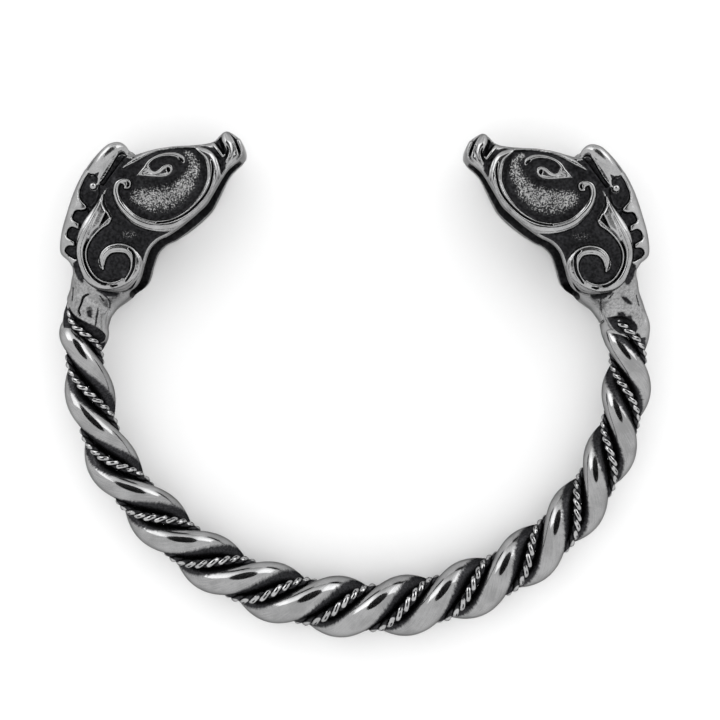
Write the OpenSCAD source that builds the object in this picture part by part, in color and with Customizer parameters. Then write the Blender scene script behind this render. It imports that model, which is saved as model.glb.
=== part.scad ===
// Open torc cuff, lying on its side. Two thick strands are twisted into a rope that is
// fattest at the back of the wrist, a fine wire lies in each groove between them, and a
// beast head with raised scrollwork closes each end. The opening faces +Y.

/* [Ring] */
// Longer width of the oval that the rope's centre line follows
ring_long = 74.6; // [68:0.1:82]
// Shorter width of that oval
ring_short = 69.3; // [64:0.1:78]
// Lean of the oval's longer axis, down on the right
ring_lean = 18; // [0:1:30]
// Ring angle where the rope leaves the left neck
left_end = -184; // [-188:1:-178]
// Ring angle where the rope meets the right neck
right_end = 4.2; // [-2:0.2:8]
// How far the rope's line bows outwards on its lower left
line_bow = 0.45; // [0:0.05:0.8]

/* [Rope] */
// Rope diameter at the left neck
rope_d_left = 6.8; // [5.5:0.1:7.5]
// Rope diameter at the back of the wrist
rope_d_back = 8.5; // [7.5:0.05:9.5]
// Rope diameter at the right neck
rope_d_right = 6.7; // [5.5:0.1:7.5]
// How late the rope swells towards its back
swell_power = 2.3; // [1.5:0.1:4]
// Full turns of the twist from neck to neck
rope_turns = 6.4; // [5:0.05:6.6]
// How far the twist lags on its way, before it catches up at the right neck
twist_lag = 0.125; // [0:0.005:0.2]
// Angle of the first strand at the left neck, from the outside towards the top
start_angle = -147; // [-180:1:180]
// Strand diameter as a share of the rope's
strand_share = 0.462; // [0.44:0.002:0.464]
// Wire diameter as a share of the rope's
wire_share = 0.175; // [0.14:0.005:0.175]
// Distance of each wire from the rope's centre, as a share of the rope's diameter
wire_orbit = 0.302; // [0.302:0.002:0.312]

/* [Head] */
// Half thickness of a head at the cheek, under the scrollwork
plate_half = 5.5; // [4.5:0.1:6.5]
// Height of the scrollwork above the cheek
relief = 0.75; // [0.4:0.05:1.2]
// Rise of the domed cheek above the plate round it
cheek_rise = 0.6; // [0.2:0.05:0.9]
// Depth of the hollow along the underside
hollow_depth = 2.2; // [1:0.1:3]
// Thickness of the rims beside that hollow
rim = 1.0; // [0.7:0.1:1.6]
// Depth of the windows in the mane strip and of the slot behind the eye
window_depth = 0.9; // [0.4:0.1:1.4]

/* [Hidden] */

// Clear gap between the rope's ends and the necks
joint_gap = 0.1;
// How late on its way the twist's lag is greatest
lag_power = 1.5;
// Rings of the swept strands and wires in each full turn, and their sides
rings_per_turn = 12;
strand_sides = 12;
wire_sides = 6;
// Middle of the oval, in the plane that the cuff is drawn in
ring_mid = [0.05, 4.55];
// Ring angle at the middle of the bow in the rope's line, and its reach
bow_at = -155.5;
bow_reach = 7;
// The middles of the cheeks, in that plane
left_cheek = [-25.2, 26.0];
right_cheek = [25.0, 25.7];

// The rope's line is worked out below. A place on it is a share from 0 at the left neck to
// 1 at the right neck.

function ring_angle(share) = left_end + (right_end - left_end) * share;
function ring_radius(angle) =
    let (turned = angle + ring_lean)
    1 / sqrt(pow(cos(turned) / (ring_long / 2), 2) + pow(sin(turned) / (ring_short / 2), 2))
    + line_bow * exp(-pow((angle - bow_at) / bow_reach, 2));
function line_point(share) =
    let (angle = ring_angle(share), radius = ring_radius(angle))
    [ring_mid.x + radius * cos(angle), ring_mid.y + radius * sin(angle), 0];
function unit(v) = v / norm(v);
function line_tangent(share, step = 0.0005) =
    unit(line_point(share + step) - line_point(share - step));
// Away from the wrist, in the ring's plane
function line_outward(share) = let (t = line_tangent(share)) [t.y, -t.x, 0];

function rope_d(share) =
    let (end_d = rope_d_left + (rope_d_right - rope_d_left) * share,
         swell = pow(max(0, sin(180 * share)), swell_power))
    end_d + (rope_d_back - end_d) * swell;
function twist(share) =
    let (lag = twist_lag * pow(max(0, share), lag_power) * (1 - share))
    start_angle + 360 * rope_turns * (share - lag);
function helix_point(share, phase, orbit_share) =
    let (angle = twist(share) + phase, orbit = orbit_share * rope_d(share))
    line_point(share) + orbit * (cos(angle) * line_outward(share) + [0, 0, sin(angle)]);

// One ring of a strand, square to the strand. The first and last rings are slid along the
// strand into the flat face of the neck.
function helix_ring(share, phase, orbit_share, d_share, sides) =
    let (step = 0.001,
         centre = helix_point(share, phase, orbit_share),
         along = unit(helix_point(share + step, phase, orbit_share)
                      - helix_point(share - step, phase, orbit_share)),
         across = unit(cross([0, 0, 1], along)),
         up = cross(along, across),
         radius = d_share * rope_d(share) / 2,
         at_end = share <= 0 || share >= 1,
         face = line_tangent(share),
         face_point = line_point(share) + (share <= 0 ? joint_gap : -joint_gap) * face)
    [for (i = [0 : sides - 1])
        let (turn = 360 * i / sides,
             p = centre + radius * (cos(turn) * across + sin(turn) * up))
        at_end ? p + along * ((face_point - p) * face) / (along * face) : p];

// A closed tube through rings that all have the same number of points
module tube(rings) {
    sides = len(rings[0]);
    count = len(rings);
    walls = [for (r = [0 : count - 2], i = [0 : sides - 1])
        let (a = r * sides + i, b = r * sides + (i + 1) % sides)
        each [[a, b + sides, b], [a, a + sides, b + sides]]];
    first_cap = [for (i = [0 : sides - 1]) i];
    last_cap = [for (i = [sides - 1 : -1 : 0]) (count - 1) * sides + i];
    polyhedron([for (r = rings) each r], concat([first_cap], walls, [last_cap]));
}

module helix(phase, orbit_share, d_share, sides) {
    count = round(rope_turns * rings_per_turn);
    tube([for (k = [0 : count])
        [for (p = helix_ring(k / count, phase, orbit_share, d_share, sides)) p]]);
}

// The head is drawn on its left side, in a plane with its origin at the middle of the cheek,
// +X towards the nose and +Y towards the ear. Each row of head_sections is one slice across
// the head: its ends on the crown and on the underside.
// Columns: crown x, crown y, underside x, underside y
head_sections = [
    [-14.0, -16.0, -7.9, -16.1],
    [-13.4, -13.45, -5.4, -14.2],
    [-12.7, -10.95, -3.6, -12.1],
    [-13.1, -9.55, -2.9, -9.9],
    [-14.3, -8.25, -2.2, -7.9],
    [-14.2, -5.75, -1.1, -6.7],
    [-13.5, -3.05, 0.3, -6.0],
    [-12.3, 0.45, 1.9, -4.9],
    [-10.6, 3.55, 3.4, -3.7],
    [-8.5, 5.95, 4.5, -2.7],
    [-7.2, 6.55, 5.1, -2.1],
    [-5.7, 6.05, 5.5, -1.6],
    [-4.7, 4.95, 5.9, -0.9],
    [-2.2, 5.55, 6.5, 0.2],
    [1.0, 6.15, 7.2, 1.5],
    [4.0, 6.45, 8.0, 2.8],
    [5.9, 6.85, 8.8, 3.6],
    [6.9, 7.85, 9.7, 4.4],
    [7.8, 8.4, 10.2, 5.4],
    [9.1, 7.7, 9.9, 6.8]
];
// The hollow of the underside runs from after the one section to after the other, and narrows
// with its depth
hollow_from = 1;
hollow_to = 15;
hollow_draft = 0.9;

// Raised bands. Columns: x, y, width
cheek_ring = [
    [-5.4, 0.2, 0.5], [-4.7, 0.5, 0.5], [-5.1, 1.2, 0.6], [-6.3, 0.7, 0.7],
    [-6.5, -0.6, 0.7], [-5.6, -2.6, 1.0], [-3.8, -4.2, 1.4], [-1.3, -4.8, 1.6],
    [1.4, -4.3, 1.75], [4.1, -2.2, 1.5], [6.0, 0.9, 1.6], [6.4, 2.9, 1.8],
    [5.3, 5.0, 1.25], [3.7, 5.8, 0.4]
];
brow = [
    [4.0, 6.1, 0.3], [1.3, 6.0, 0.35], [-1.2, 5.4, 0.5],
    [-3.3, 4.4, 0.75], [-4.6, 3.6, 0.55], [-5.7, 2.9, 0.2]
];
upper_lid = [
    [-3.9, 1.9, 0.25], [-2.9, 2.7, 0.6], [-2.2, 3.6, 0.5], [-0.9, 4.5, 0.45],
    [0.1, 4.8, 0.5], [1.3, 4.7, 0.55], [2.5, 3.7, 0.4]
];
lower_lid = [
    [-3.6, 2.0, 0.3], [-1.5, 2.1, 0.95], [-0.5, 2.3, 1.4], [0.3, 2.6, 1.5], [1.1, 2.7, 0.4]
];
neck_scroll = [
    [-7.8, 0.1, 0.3], [-8.4, -1.3, 0.6], [-8.9, -3.1, 1.3], [-10.0, -5.2, 1.5],
    [-10.9, -7.4, 1.5], [-11.1, -9.0, 1.3], [-10.4, -11.0, 1.2], [-8.6, -12.7, 1.1],
    [-6.4, -13.0, 1.2], [-4.7, -11.7, 1.5], [-4.0, -9.7, 1.9], [-4.7, -8.0, 1.7],
    [-6.3, -7.5, 1.5], [-7.9, -8.4, 1.3], [-8.4, -9.7, 1.1], [-8.2, -10.7, 0.5]
];
nose_roll = [[7.3, 8.0, 0.9], [7.9, 7.2, 1.3], [8.4, 6.1, 1.4], [8.9, 5.2, 1.0]];

// Cuts in the side of the head. Columns: x and y of each end, width
windows = [
    [-10.6, 0.3, -11.3, -1.2, 1.5],
    [-11.9, -2.9, -12.2, -3.9, 1.3],
    [-12.6, -5.3, -12.8, -6.2, 1.1],
    [-13.0, -7.5, -13.1, -8.3, 1.0]
];
ear_slot = [-6.0, 5.6, -8.2, 1.2, 0.9];
nose_cuts = [[5.6, 6.5, 7.5, 5.0, 0.4], [6.6, 7.1, 7.5, 5.0, 0.4]];

// The ear is a tapering roll, with a bead below it. Columns: x, y, radius
ear = [[-7.1, 5.6, 1.05], [-9.8, 2.0, 0.9]];
ear_bead = [-10.1, 0.9, 0.5];
ear_bead_root = 0.8;
// Height of the ear's middle above the cheek's plate
ear_sink = 0.35;
// Corners of the barb on the scroll's leaf
barb = [[-7.3, -3.5], [-8.2, -1.9], [-8.9, -5.1]];
barb_r = 0.35;

// The side of the head thins towards the nose and towards the neck
muzzle_dir = [0.83, 0.56];
muzzle_from = 2;
muzzle_taper = 0.25;
neck_from = -11.8;
neck_taper = 0.6;
neck_half = 3.3;
function face_z(p) =
    let (along = p.x * muzzle_dir.x + p.y * muzzle_dir.y)
    max(neck_half, plate_half - muzzle_taper * max(0, along - muzzle_from)
                              - neck_taper * max(0, neck_from - p.y));

function rounded(value, power) = sign(value) * pow(abs(value), 2 / power);
// One slice across the head, rounder on the crown than on the underside
section_sides = 14;
function head_ring(crown, under, half, crown_power, under_power) =
    let (mid = (crown + under) / 2, reach = (crown - under) / 2)
    [for (i = [0 : section_sides - 1])
        let (turn = 360 * i / section_sides,
             power = cos(turn) > 0 ? crown_power : under_power,
             p = mid + reach * rounded(cos(turn), power))
        [p.x, p.y, half * rounded(sin(turn), power)]];

crown_power = 4.5;
under_power = 8;
// end_point, end_outward and end_radius place the round slice where the rope meets the neck
module head_body(end_point, end_outward, end_radius) {
    neck_ring = head_ring(end_point + end_outward * end_radius,
                          end_point - end_outward * end_radius, end_radius, 2, 2);
    tube(concat([neck_ring], [for (row = head_sections)
        let (crown = [row[0], row[1]], under = [row[2], row[3]])
        head_ring(crown, under, face_z((crown + under) / 2), crown_power, under_power)]));
}

// The hollow follows the underside between its two rims, with its slices halfway between the
// body's
module underside_hollow() {
    outside = 1.5;
    tube([for (k = [hollow_from : hollow_to])
        let (row = (head_sections[k] + head_sections[k + 1]) / 2,
             crown = [row[0], row[1]], under = [row[2], row[3]],
             inward = unit(crown - under),
             near = under - outside * inward,
             far = under + hollow_depth * inward,
             half = face_z((crown + under) / 2) - rim)
        [[near.x, near.y, -half], [far.x, far.y, -half * hollow_draft],
         [far.x, far.y, half * hollow_draft], [near.x, near.y, half]]]);
}

// Points of a smooth curve through the rows of a table
function spline(a, b, c, d, t) =
    0.5 * (2 * b + (c - a) * t + (2 * a - 5 * b + 4 * c - d) * t * t
           + (3 * b - a - 3 * c + d) * t * t * t);
function smooth(rows, steps) =
    let (last = len(rows) - 1)
    concat([for (k = [0 : last - 1], s = [0 : steps - 1])
        spline(rows[max(0, k - 1)], rows[k], rows[k + 1], rows[min(last, k + 2)], s / steps)],
        [rows[last]]);

// A raised band with a rounded back, rooted deep in the side of the head
band_root = 1.6;
module band(rows, rise = relief, steps = 1) {
    points = smooth(rows, steps);
    last = len(points) - 1;
    tube([for (k = [0 : last])
        let (before = points[max(0, k - 1)], after = points[min(last, k + 1)],
             along = unit([after[0] - before[0], after[1] - before[1]]),
             side = [-along.y, along.x],
             middle = [points[k][0], points[k][1]],
             half = max(0.1, points[k][2] / 2),
             base = face_z(middle))
        [for (q = [[1, -band_root], [0.85, 0.5 * rise], [0, rise],
                   [-0.85, 0.5 * rise], [-1, -band_root]])
            let (p = middle + side * half * q[0]) [p.x, p.y, base + q[1]]]]);
}

// Heights of the finer bands and of the barb, as shares of the scrollwork's
brow_share = 0.6;
lid_share = 1.1;
nose_share = 0.8;
barb_share = 0.7;

// A slot cut into the side of the head. Its row holds x and y of each end and its width.
module slot_cut(row, depth) {
    floor_z = min(face_z([row[0], row[1]]), face_z([row[2], row[3]])) - depth;
    hull() for (p = [[row[0], row[1]], [row[2], row[3]]])
        translate([p.x, p.y, floor_z]) cylinder(d = row[4], h = plate_half, $fn = 10);
}

// The cheek is the top of a lens that is sunk into the side of the head
module cheek_dome() {
    lens_half = 2.6;
    lens = [7.0, 5.2, lens_half];
    lens_middle = [0.1, 0.6];
    lens_lean = 22;
    translate([lens_middle.x, lens_middle.y, plate_half + cheek_rise - lens_half])
        rotate(lens_lean)
        scale(lens) sphere(r = 1, $fn = 16);
}

module ear_roll() {
    hull() for (row = ear)
        translate([row[0], row[1], plate_half - ear_sink]) sphere(r = row[2], $fn = 10);
    hull() for (sink = [0, ear_bead_root])
        translate([ear_bead[0], ear_bead[1], plate_half - sink])
            sphere(r = ear_bead[2], $fn = 8);
}

module scroll_barb() {
    hull() for (p = barb)
        translate([p.x, p.y, plate_half - band_root])
            cylinder(r = barb_r, h = band_root + barb_share * relief, $fn = 8);
}

module side_ornament() {
    band(cheek_ring, steps = 2);
    band(brow, brow_share * relief);
    band(upper_lid, lid_share * relief);
    band(lower_lid, lid_share * relief);
    band(neck_scroll, steps = 2);
    band(nose_roll, nose_share * relief);
    scroll_barb();
    ear_roll();
}

module side_cuts() {
    for (row = windows) slot_cut(row, window_depth);
    slot_cut(ear_slot, window_depth);
    for (row = nose_cuts) slot_cut(row, 0.5 * window_depth);
}

module both_sides() {
    children();
    mirror([0, 0, 1]) children();
}

// A head in its own plane, ready for the place where the rope ends
module head(end_point, end_outward, end_radius) {
    difference() {
        union() {
            difference() {
                head_body(end_point, end_outward, end_radius);
                both_sides() side_cuts();
            }
            both_sides() {
                cheek_dome();
                side_ornament();
            }
        }
        underside_hollow();
    }
}

// The cuff rests on its two heads and on the back of its rope, so it leans a little. The
// middle of the leaning cuff comes to the origin, with its lowest point at height 0.
rope_touch_y = ring_mid.y - ring_short / 2;
rope_touch_z = rope_d_back / 2;
head_touch_y = 14.1;
head_touch_z = plate_half + relief;
rest_lean = asin((head_touch_z - rope_touch_z) / (head_touch_y - rope_touch_y));
rest_height = rope_touch_z - rope_touch_y * sin(rest_lean);
plan_middle = [-0.08, 0.02];
module at_rest() {
    translate([-plan_middle.x, -plan_middle.y, rest_height])
        rotate([rest_lean, 0, 0]) children();
}

module beast_head_left() {
    end = line_point(0);
    out = line_outward(0);
    color([0.62, 0.62, 0.63]) at_rest()
        translate([left_cheek.x, left_cheek.y, 0])
            head([end.x - left_cheek.x, end.y - left_cheek.y], [out.x, out.y], rope_d(0) / 2);
}

module beast_head_right() {
    end = line_point(1);
    out = line_outward(1);
    color([0.62, 0.62, 0.63]) at_rest()
        translate([right_cheek.x, right_cheek.y, 0]) mirror([1, 0, 0])
            head([right_cheek.x - end.x, end.y - right_cheek.y], [-out.x, out.y], rope_d(1) / 2);
}

strand_orbit = (1 - strand_share) / 2;
module strand_a() {
    color([0.72, 0.72, 0.73]) at_rest() helix(0, strand_orbit, strand_share, strand_sides);
}

module strand_b() {
    color([0.72, 0.72, 0.73]) at_rest() helix(180, strand_orbit, strand_share, strand_sides);
}

module beaded_wire_a() {
    color([0.4, 0.4, 0.41]) at_rest() helix(90, wire_orbit, wire_share, wire_sides);
}

module beaded_wire_b() {
    color([0.4, 0.4, 0.41]) at_rest() helix(270, wire_orbit, wire_share, wire_sides);
}

beast_head_left();
beast_head_right();
strand_a();
strand_b();
beaded_wire_a();
beaded_wire_b();
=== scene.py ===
"""Looks of an open torc cuff: a rope of two strands and two beaded wires between two beast heads."""

import math

import bpy
import numpy as np
from bpy.props import FloatProperty, FloatVectorProperty, PointerProperty
from bpy.types import Operator, Panel, PropertyGroup
from mathutils import Matrix


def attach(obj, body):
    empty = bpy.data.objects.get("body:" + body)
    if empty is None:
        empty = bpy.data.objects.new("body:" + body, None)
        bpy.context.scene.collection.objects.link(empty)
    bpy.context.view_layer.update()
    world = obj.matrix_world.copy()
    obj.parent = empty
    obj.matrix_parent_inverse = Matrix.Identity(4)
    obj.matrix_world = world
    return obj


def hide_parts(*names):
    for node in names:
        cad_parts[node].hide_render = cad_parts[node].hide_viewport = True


bl_info = {
    "name": "Torc Cuff",
    "version": (1, 0, 0),
    "blender": (4, 5, 0),
    "location": "3D View > Sidebar > Torc Cuff",
    "description": "Builds a twisted torc cuff with beast head terminals around its packed model",
    "category": "Add Mesh",
}

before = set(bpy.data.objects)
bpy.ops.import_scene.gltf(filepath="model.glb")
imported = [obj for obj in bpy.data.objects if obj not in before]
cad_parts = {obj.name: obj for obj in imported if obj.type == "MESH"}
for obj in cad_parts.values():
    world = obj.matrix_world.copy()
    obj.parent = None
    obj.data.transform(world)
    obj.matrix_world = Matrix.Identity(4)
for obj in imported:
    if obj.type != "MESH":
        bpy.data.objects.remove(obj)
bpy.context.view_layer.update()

MM = 0.001


# Properties

def size(name, description, default, low, high):
    """A length that is given in millimetres and kept in metres."""
    return FloatProperty(name=name, description=description, default=default * MM,
                         min=low * MM, max=high * MM, precision=5, unit="LENGTH")


def turn(name, description, default):
    """An angle that is given in degrees and kept in radians."""
    return FloatProperty(name=name, description=description, default=math.radians(default),
                         subtype="ANGLE", unit="ROTATION")


def share(name, description, default, low=0.0, high=1.0):
    return FloatProperty(name=name, description=description, default=default,
                         min=low, max=high, precision=3, subtype="FACTOR")


def tint(name, description, default):
    return FloatVectorProperty(name=name, description=description, default=default,
                               size=3, min=0.0, max=1.0, subtype="COLOR")


class TorcRope(PropertyGroup):
    """Sizes of the twisted rope"""
    ring_long: size("Ring length", "Longer width of the oval that the rope follows", 74.6, 68, 82)
    ring_short: size("Ring width", "Shorter width of that oval", 69.3, 64, 78)
    ring_lean: turn("Ring lean", "Lean of the oval's longer axis", 18.0)
    line_bow: size("Line bow", "How far the rope's line bows outwards on its lower left", 0.45, 0.0, 0.8)
    left_end: turn("Left end", "Ring angle where the rope leaves the left neck", -184.0)
    right_end: turn("Right end", "Ring angle where the rope meets the right neck", 4.2)
    left_d: size("Left thickness", "Rope diameter at the left neck", 6.8, 5.5, 7.5)
    back_d: size("Back thickness", "Rope diameter at the back of the wrist", 8.5, 7.5, 9.5)
    right_d: size("Right thickness", "Rope diameter at the right neck", 6.7, 5.5, 7.5)
    swell: FloatProperty(name="Swell", description="How late the rope swells towards its back",
                         default=2.3, min=1.5, max=4.0)
    turns: FloatProperty(name="Turns", description="Full turns of the twist from neck to neck",
                         default=6.4, min=5.0, max=6.6)
    lag: share("Twist lag", "How far the twist lags on its way", 0.125, 0.0, 0.2)
    start: turn("Start angle", "Angle of the first strand at the left neck", -147.0)
    strand: share("Strand share", "Strand diameter as a share of the rope's", 0.454)
    strand_orbit: share("Strand place", "Distance of a strand from the rope's centre, as a share of the "
                                        "rope's diameter", 0.264)
    wire: share("Wire share", "Wire diameter as a share of the rope's", 0.175)
    wire_orbit: share("Wire place", "Distance of a wire from the rope's centre, as a share of the "
                                    "rope's diameter", 0.302)
    ply_pitch: share("Ply pitch", "Length of one turn of a wire's two plies, as a share of the "
                                  "rope's diameter", 0.38)


class TorcHead(PropertyGroup):
    """Sizes of a beast head"""
    plate: size("Half thickness", "Half thickness of a head at the cheek", 5.5, 4.5, 6.5)
    relief: size("Relief", "Height of the scrollwork above the cheek", 0.75, 0.4, 1.2)
    cheek: size("Cheek rise", "Rise of the domed cheek above the plate", 0.42, 0.2, 0.9)
    hollow: size("Hollow depth", "Depth of the hollow along the underside", 2.2, 1.0, 3.0)
    rim: size("Rim", "Thickness of the rims beside that hollow", 1.5, 0.7, 2.0)
    cell: size("Cell", "Edge of the cells that the head's skin is drawn from", 0.125, 0.08, 0.5)


class TorcFinish(PropertyGroup):
    """Colours and polish of the steel"""
    bright: tint("Polished steel", "Colour of the polished high places", (0.298, 0.298, 0.3))
    oxide: tint("Darkened steel", "Colour of the blackened low places", (0.014, 0.014, 0.015))
    satin: tint("Satin steel", "Colour of the brushed high places of the heads", (0.345, 0.345, 0.347))
    fleck: tint("Blasted steel", "Colour of the flecks on the grained cheek", (0.4, 0.4, 0.4))
    edge_shade: share("Edge shade", "How much of the floor the polished steel reflects at its edges", 0.35)
    bright_rough: share("Polish roughness", "Roughness of the polished steel", 0.11)
    satin_rough: share("Satin roughness", "Roughness of the heads' high places", 0.20)
    oxide_rough: share("Oxide roughness", "Roughness of the blackened steel", 0.42)


class TorcStage(PropertyGroup):
    """Floor, lights and camera"""
    floor: tint("Floor", "Colour of the floor", (0.96, 0.96, 0.96))
    distance: size("Camera distance", "Distance of the camera from the ring's plane", 215.0, 150, 600)
    view_width: size("View width", "Width that the picture takes in at the ring's plane", 98.136, 60, 200)
    surround: FloatProperty(name="Surroundings", description="Brightness of the white surroundings",
                            default=1.25, min=0.0, max=5.0)
    key: FloatProperty(name="Softbox", description="Brightness of the softbox that reflections see",
                       default=3.2, min=0.0, max=50.0)


# Curves

def smooth(rows, steps=8):
    """Points of a smooth curve through the rows of a table, all columns alike."""
    rows = np.array(rows, float)
    last = len(rows) - 1
    t = np.arange(steps)[:, None] / steps
    out = []
    for k in range(last):
        a, b, c, d = rows[max(0, k - 1)], rows[k], rows[k + 1], rows[min(last, k + 2)]
        out.append(0.5 * (2 * b + (c - a) * t + (2 * a - 5 * b + 4 * c - d) * t ** 2
                          + (3 * b - a - 3 * c + d) * t ** 3))
    return np.vstack([*out, rows[last:]])


def step_up(low, high, value):
    """0 below low and 1 above high, with a smooth rise between them. low may be the larger."""
    t = np.clip((value - low) / (high - low), 0.0, 1.0)
    return t * t * (3 - 2 * t)


def unit(v):
    return v / np.linalg.norm(v, axis=-1, keepdims=True)


class RopeLine:
    """The rope's centre line, thickness and twist, in millimetres, in the plane that the ring is drawn in.
    A place on it is a share from 0 at the left neck to 1 at the right neck."""

    MIDDLE = (0.05, 4.55)
    BOW_AT, BOW_REACH = math.radians(-155.5), math.radians(7.0)
    LAG_POWER = 1.5
    # Near the left neck the twist is held back by this angle, over this stretch in millimetres
    HELD, HELD_TO, HELD_FROM = math.radians(50.0), 2.2, -1.8
    # Small step along the rope, as a share of it, for directions and lengths
    STEP = 0.0005

    def __init__(self, rope):
        self.rope = rope
        step = self.STEP
        # A millimetre at each end of the rope, as a share of it
        self.left_mm = step / np.linalg.norm(self.point(step) - self.point(0.0))
        self.right_mm = step / np.linalg.norm(self.point(1.0) - self.point(1.0 - step))

    def point(self, s):
        rope = self.rope
        angle = rope.left_end + (rope.right_end - rope.left_end) * np.asarray(s, float)
        turned = angle + rope.ring_lean
        radius = 1 / np.hypot(np.cos(turned) / (rope.ring_long / MM / 2),
                              np.sin(turned) / (rope.ring_short / MM / 2))
        radius = radius + rope.line_bow / MM * np.exp(-((angle - self.BOW_AT) / self.BOW_REACH) ** 2)
        return np.stack([self.MIDDLE[0] + radius * np.cos(angle),
                         self.MIDDLE[1] + radius * np.sin(angle), 0 * angle], -1)

    def tangent(self, s):
        return unit(self.point(s + self.STEP) - self.point(s - self.STEP))

    def outward(self, s):
        along = self.tangent(s)
        return np.stack([along[..., 1], -along[..., 0], 0 * along[..., 0]], -1)

    def thickness(self, s):
        rope = self.rope
        within = np.clip(s, 0.0, 1.0)
        ends = (rope.left_d + (rope.right_d - rope.left_d) * within) / MM
        return ends + (rope.back_d / MM - ends) * np.sin(math.pi * within) ** rope.swell

    def twist(self, s):
        rope = self.rope
        lag = rope.lag * np.maximum(s, 0.0) ** self.LAG_POWER * (1 - s)
        held = self.HELD * step_up(self.HELD_TO, self.HELD_FROM, s / self.left_mm)
        return rope.start + 2 * math.pi * rope.turns * (s - lag) - held

    def radial(self, s, phase):
        """Direction from the rope's centre to the strand or wire with that phase."""
        angle = self.twist(s) + math.radians(phase)
        return (np.cos(angle)[..., None] * self.outward(s)
                + np.sin(angle)[..., None] * np.array([0.0, 0.0, 1.0]))

    def helix(self, s, phase, orbit):
        return self.point(s) + orbit * self.thickness(s)[..., None] * self.radial(s, phase)


def rest_matrix(rope, head):
    """How the cuff leans on its heads and on the back of its rope, in millimetres, as in the solid model."""
    touch_y = RopeLine.MIDDLE[1] - rope.ring_short / MM / 2
    touch_z = rope.back_d / MM / 2
    head_touch_y, head_touch_z = 14.1, (head.plate + head.relief) / MM
    lean = math.asin((head_touch_z - touch_z) / (head_touch_y - touch_y))
    height = touch_z - touch_y * math.sin(lean)
    plan_middle = (-0.08, 0.02)
    return (Matrix.Translation((-plan_middle[0], -plan_middle[1], height))
            @ Matrix.Rotation(lean, 4, "X"))


def at_rest(points):
    """Points of the ring's own plane, in millimetres, as places on the floor in metres."""
    scene = bpy.context.scene
    m = np.array(rest_matrix(scene.torc_rope, scene.torc_head))
    return (points @ m[:3, :3].T + m[:3, 3]) * MM


# Meshes

def add_piece(name, node, points, faces, marks, material):
    """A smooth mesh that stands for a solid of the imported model. marks are values kept at its points."""
    mesh = bpy.data.meshes.new(name)
    mesh.from_pydata(at_rest(points).tolist(), [], faces)
    mesh.validate()
    mesh.shade_smooth()
    for mark, values in marks.items():
        layer = mesh.attributes.new(mark, "FLOAT", "POINT")
        layer.data.foreach_set("value", np.asarray(values, np.float32))
    mesh.materials.append(material)
    piece = bpy.data.objects.new(name, mesh)
    bpy.context.scene.collection.objects.link(piece)
    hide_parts(node)
    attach(piece, "root")
    return piece


def sweep(centres, first_axis, second_axis, radii, sides):
    """Points and faces of a closed tube with round sections square to the line that it follows."""
    angle = 2 * math.pi * np.arange(sides) / sides
    points = (centres[:, None] + radii[:, None, None]
              * (np.cos(angle)[None, :, None] * first_axis[:, None]
                 + np.sin(angle)[None, :, None] * second_axis[:, None]))
    rings = np.arange(len(centres) - 1)[:, None] * sides
    here, following = rings + np.arange(sides), rings + (np.arange(sides) + 1) % sides
    quads = np.stack([here, following, following + sides, here + sides], -1).reshape(-1, 4)
    total = len(centres) * sides
    start, end = list(range(sides))[::-1], list(range(total - sides, total))
    return points.reshape(-1, 3), quads.tolist() + [start, end]


def axes_along(line, s, phase, orbit):
    """Centres of a strand or wire, its direction, the direction away from the rope, and the one across."""
    step = line.STEP
    centres = line.helix(s, phase, orbit)
    along = unit(line.helix(s + step, phase, orbit) - line.helix(s - step, phase, orbit))
    radial = line.radial(s, phase)
    radial = unit(radial - along * np.sum(radial * along, -1, keepdims=True))
    return centres, along, radial, np.cross(along, radial)


def run_length(points):
    return np.concatenate([[0.0], np.cumsum(np.linalg.norm(np.diff(points, axis=0), axis=1))])


# Height fields and skins of the heads

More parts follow.
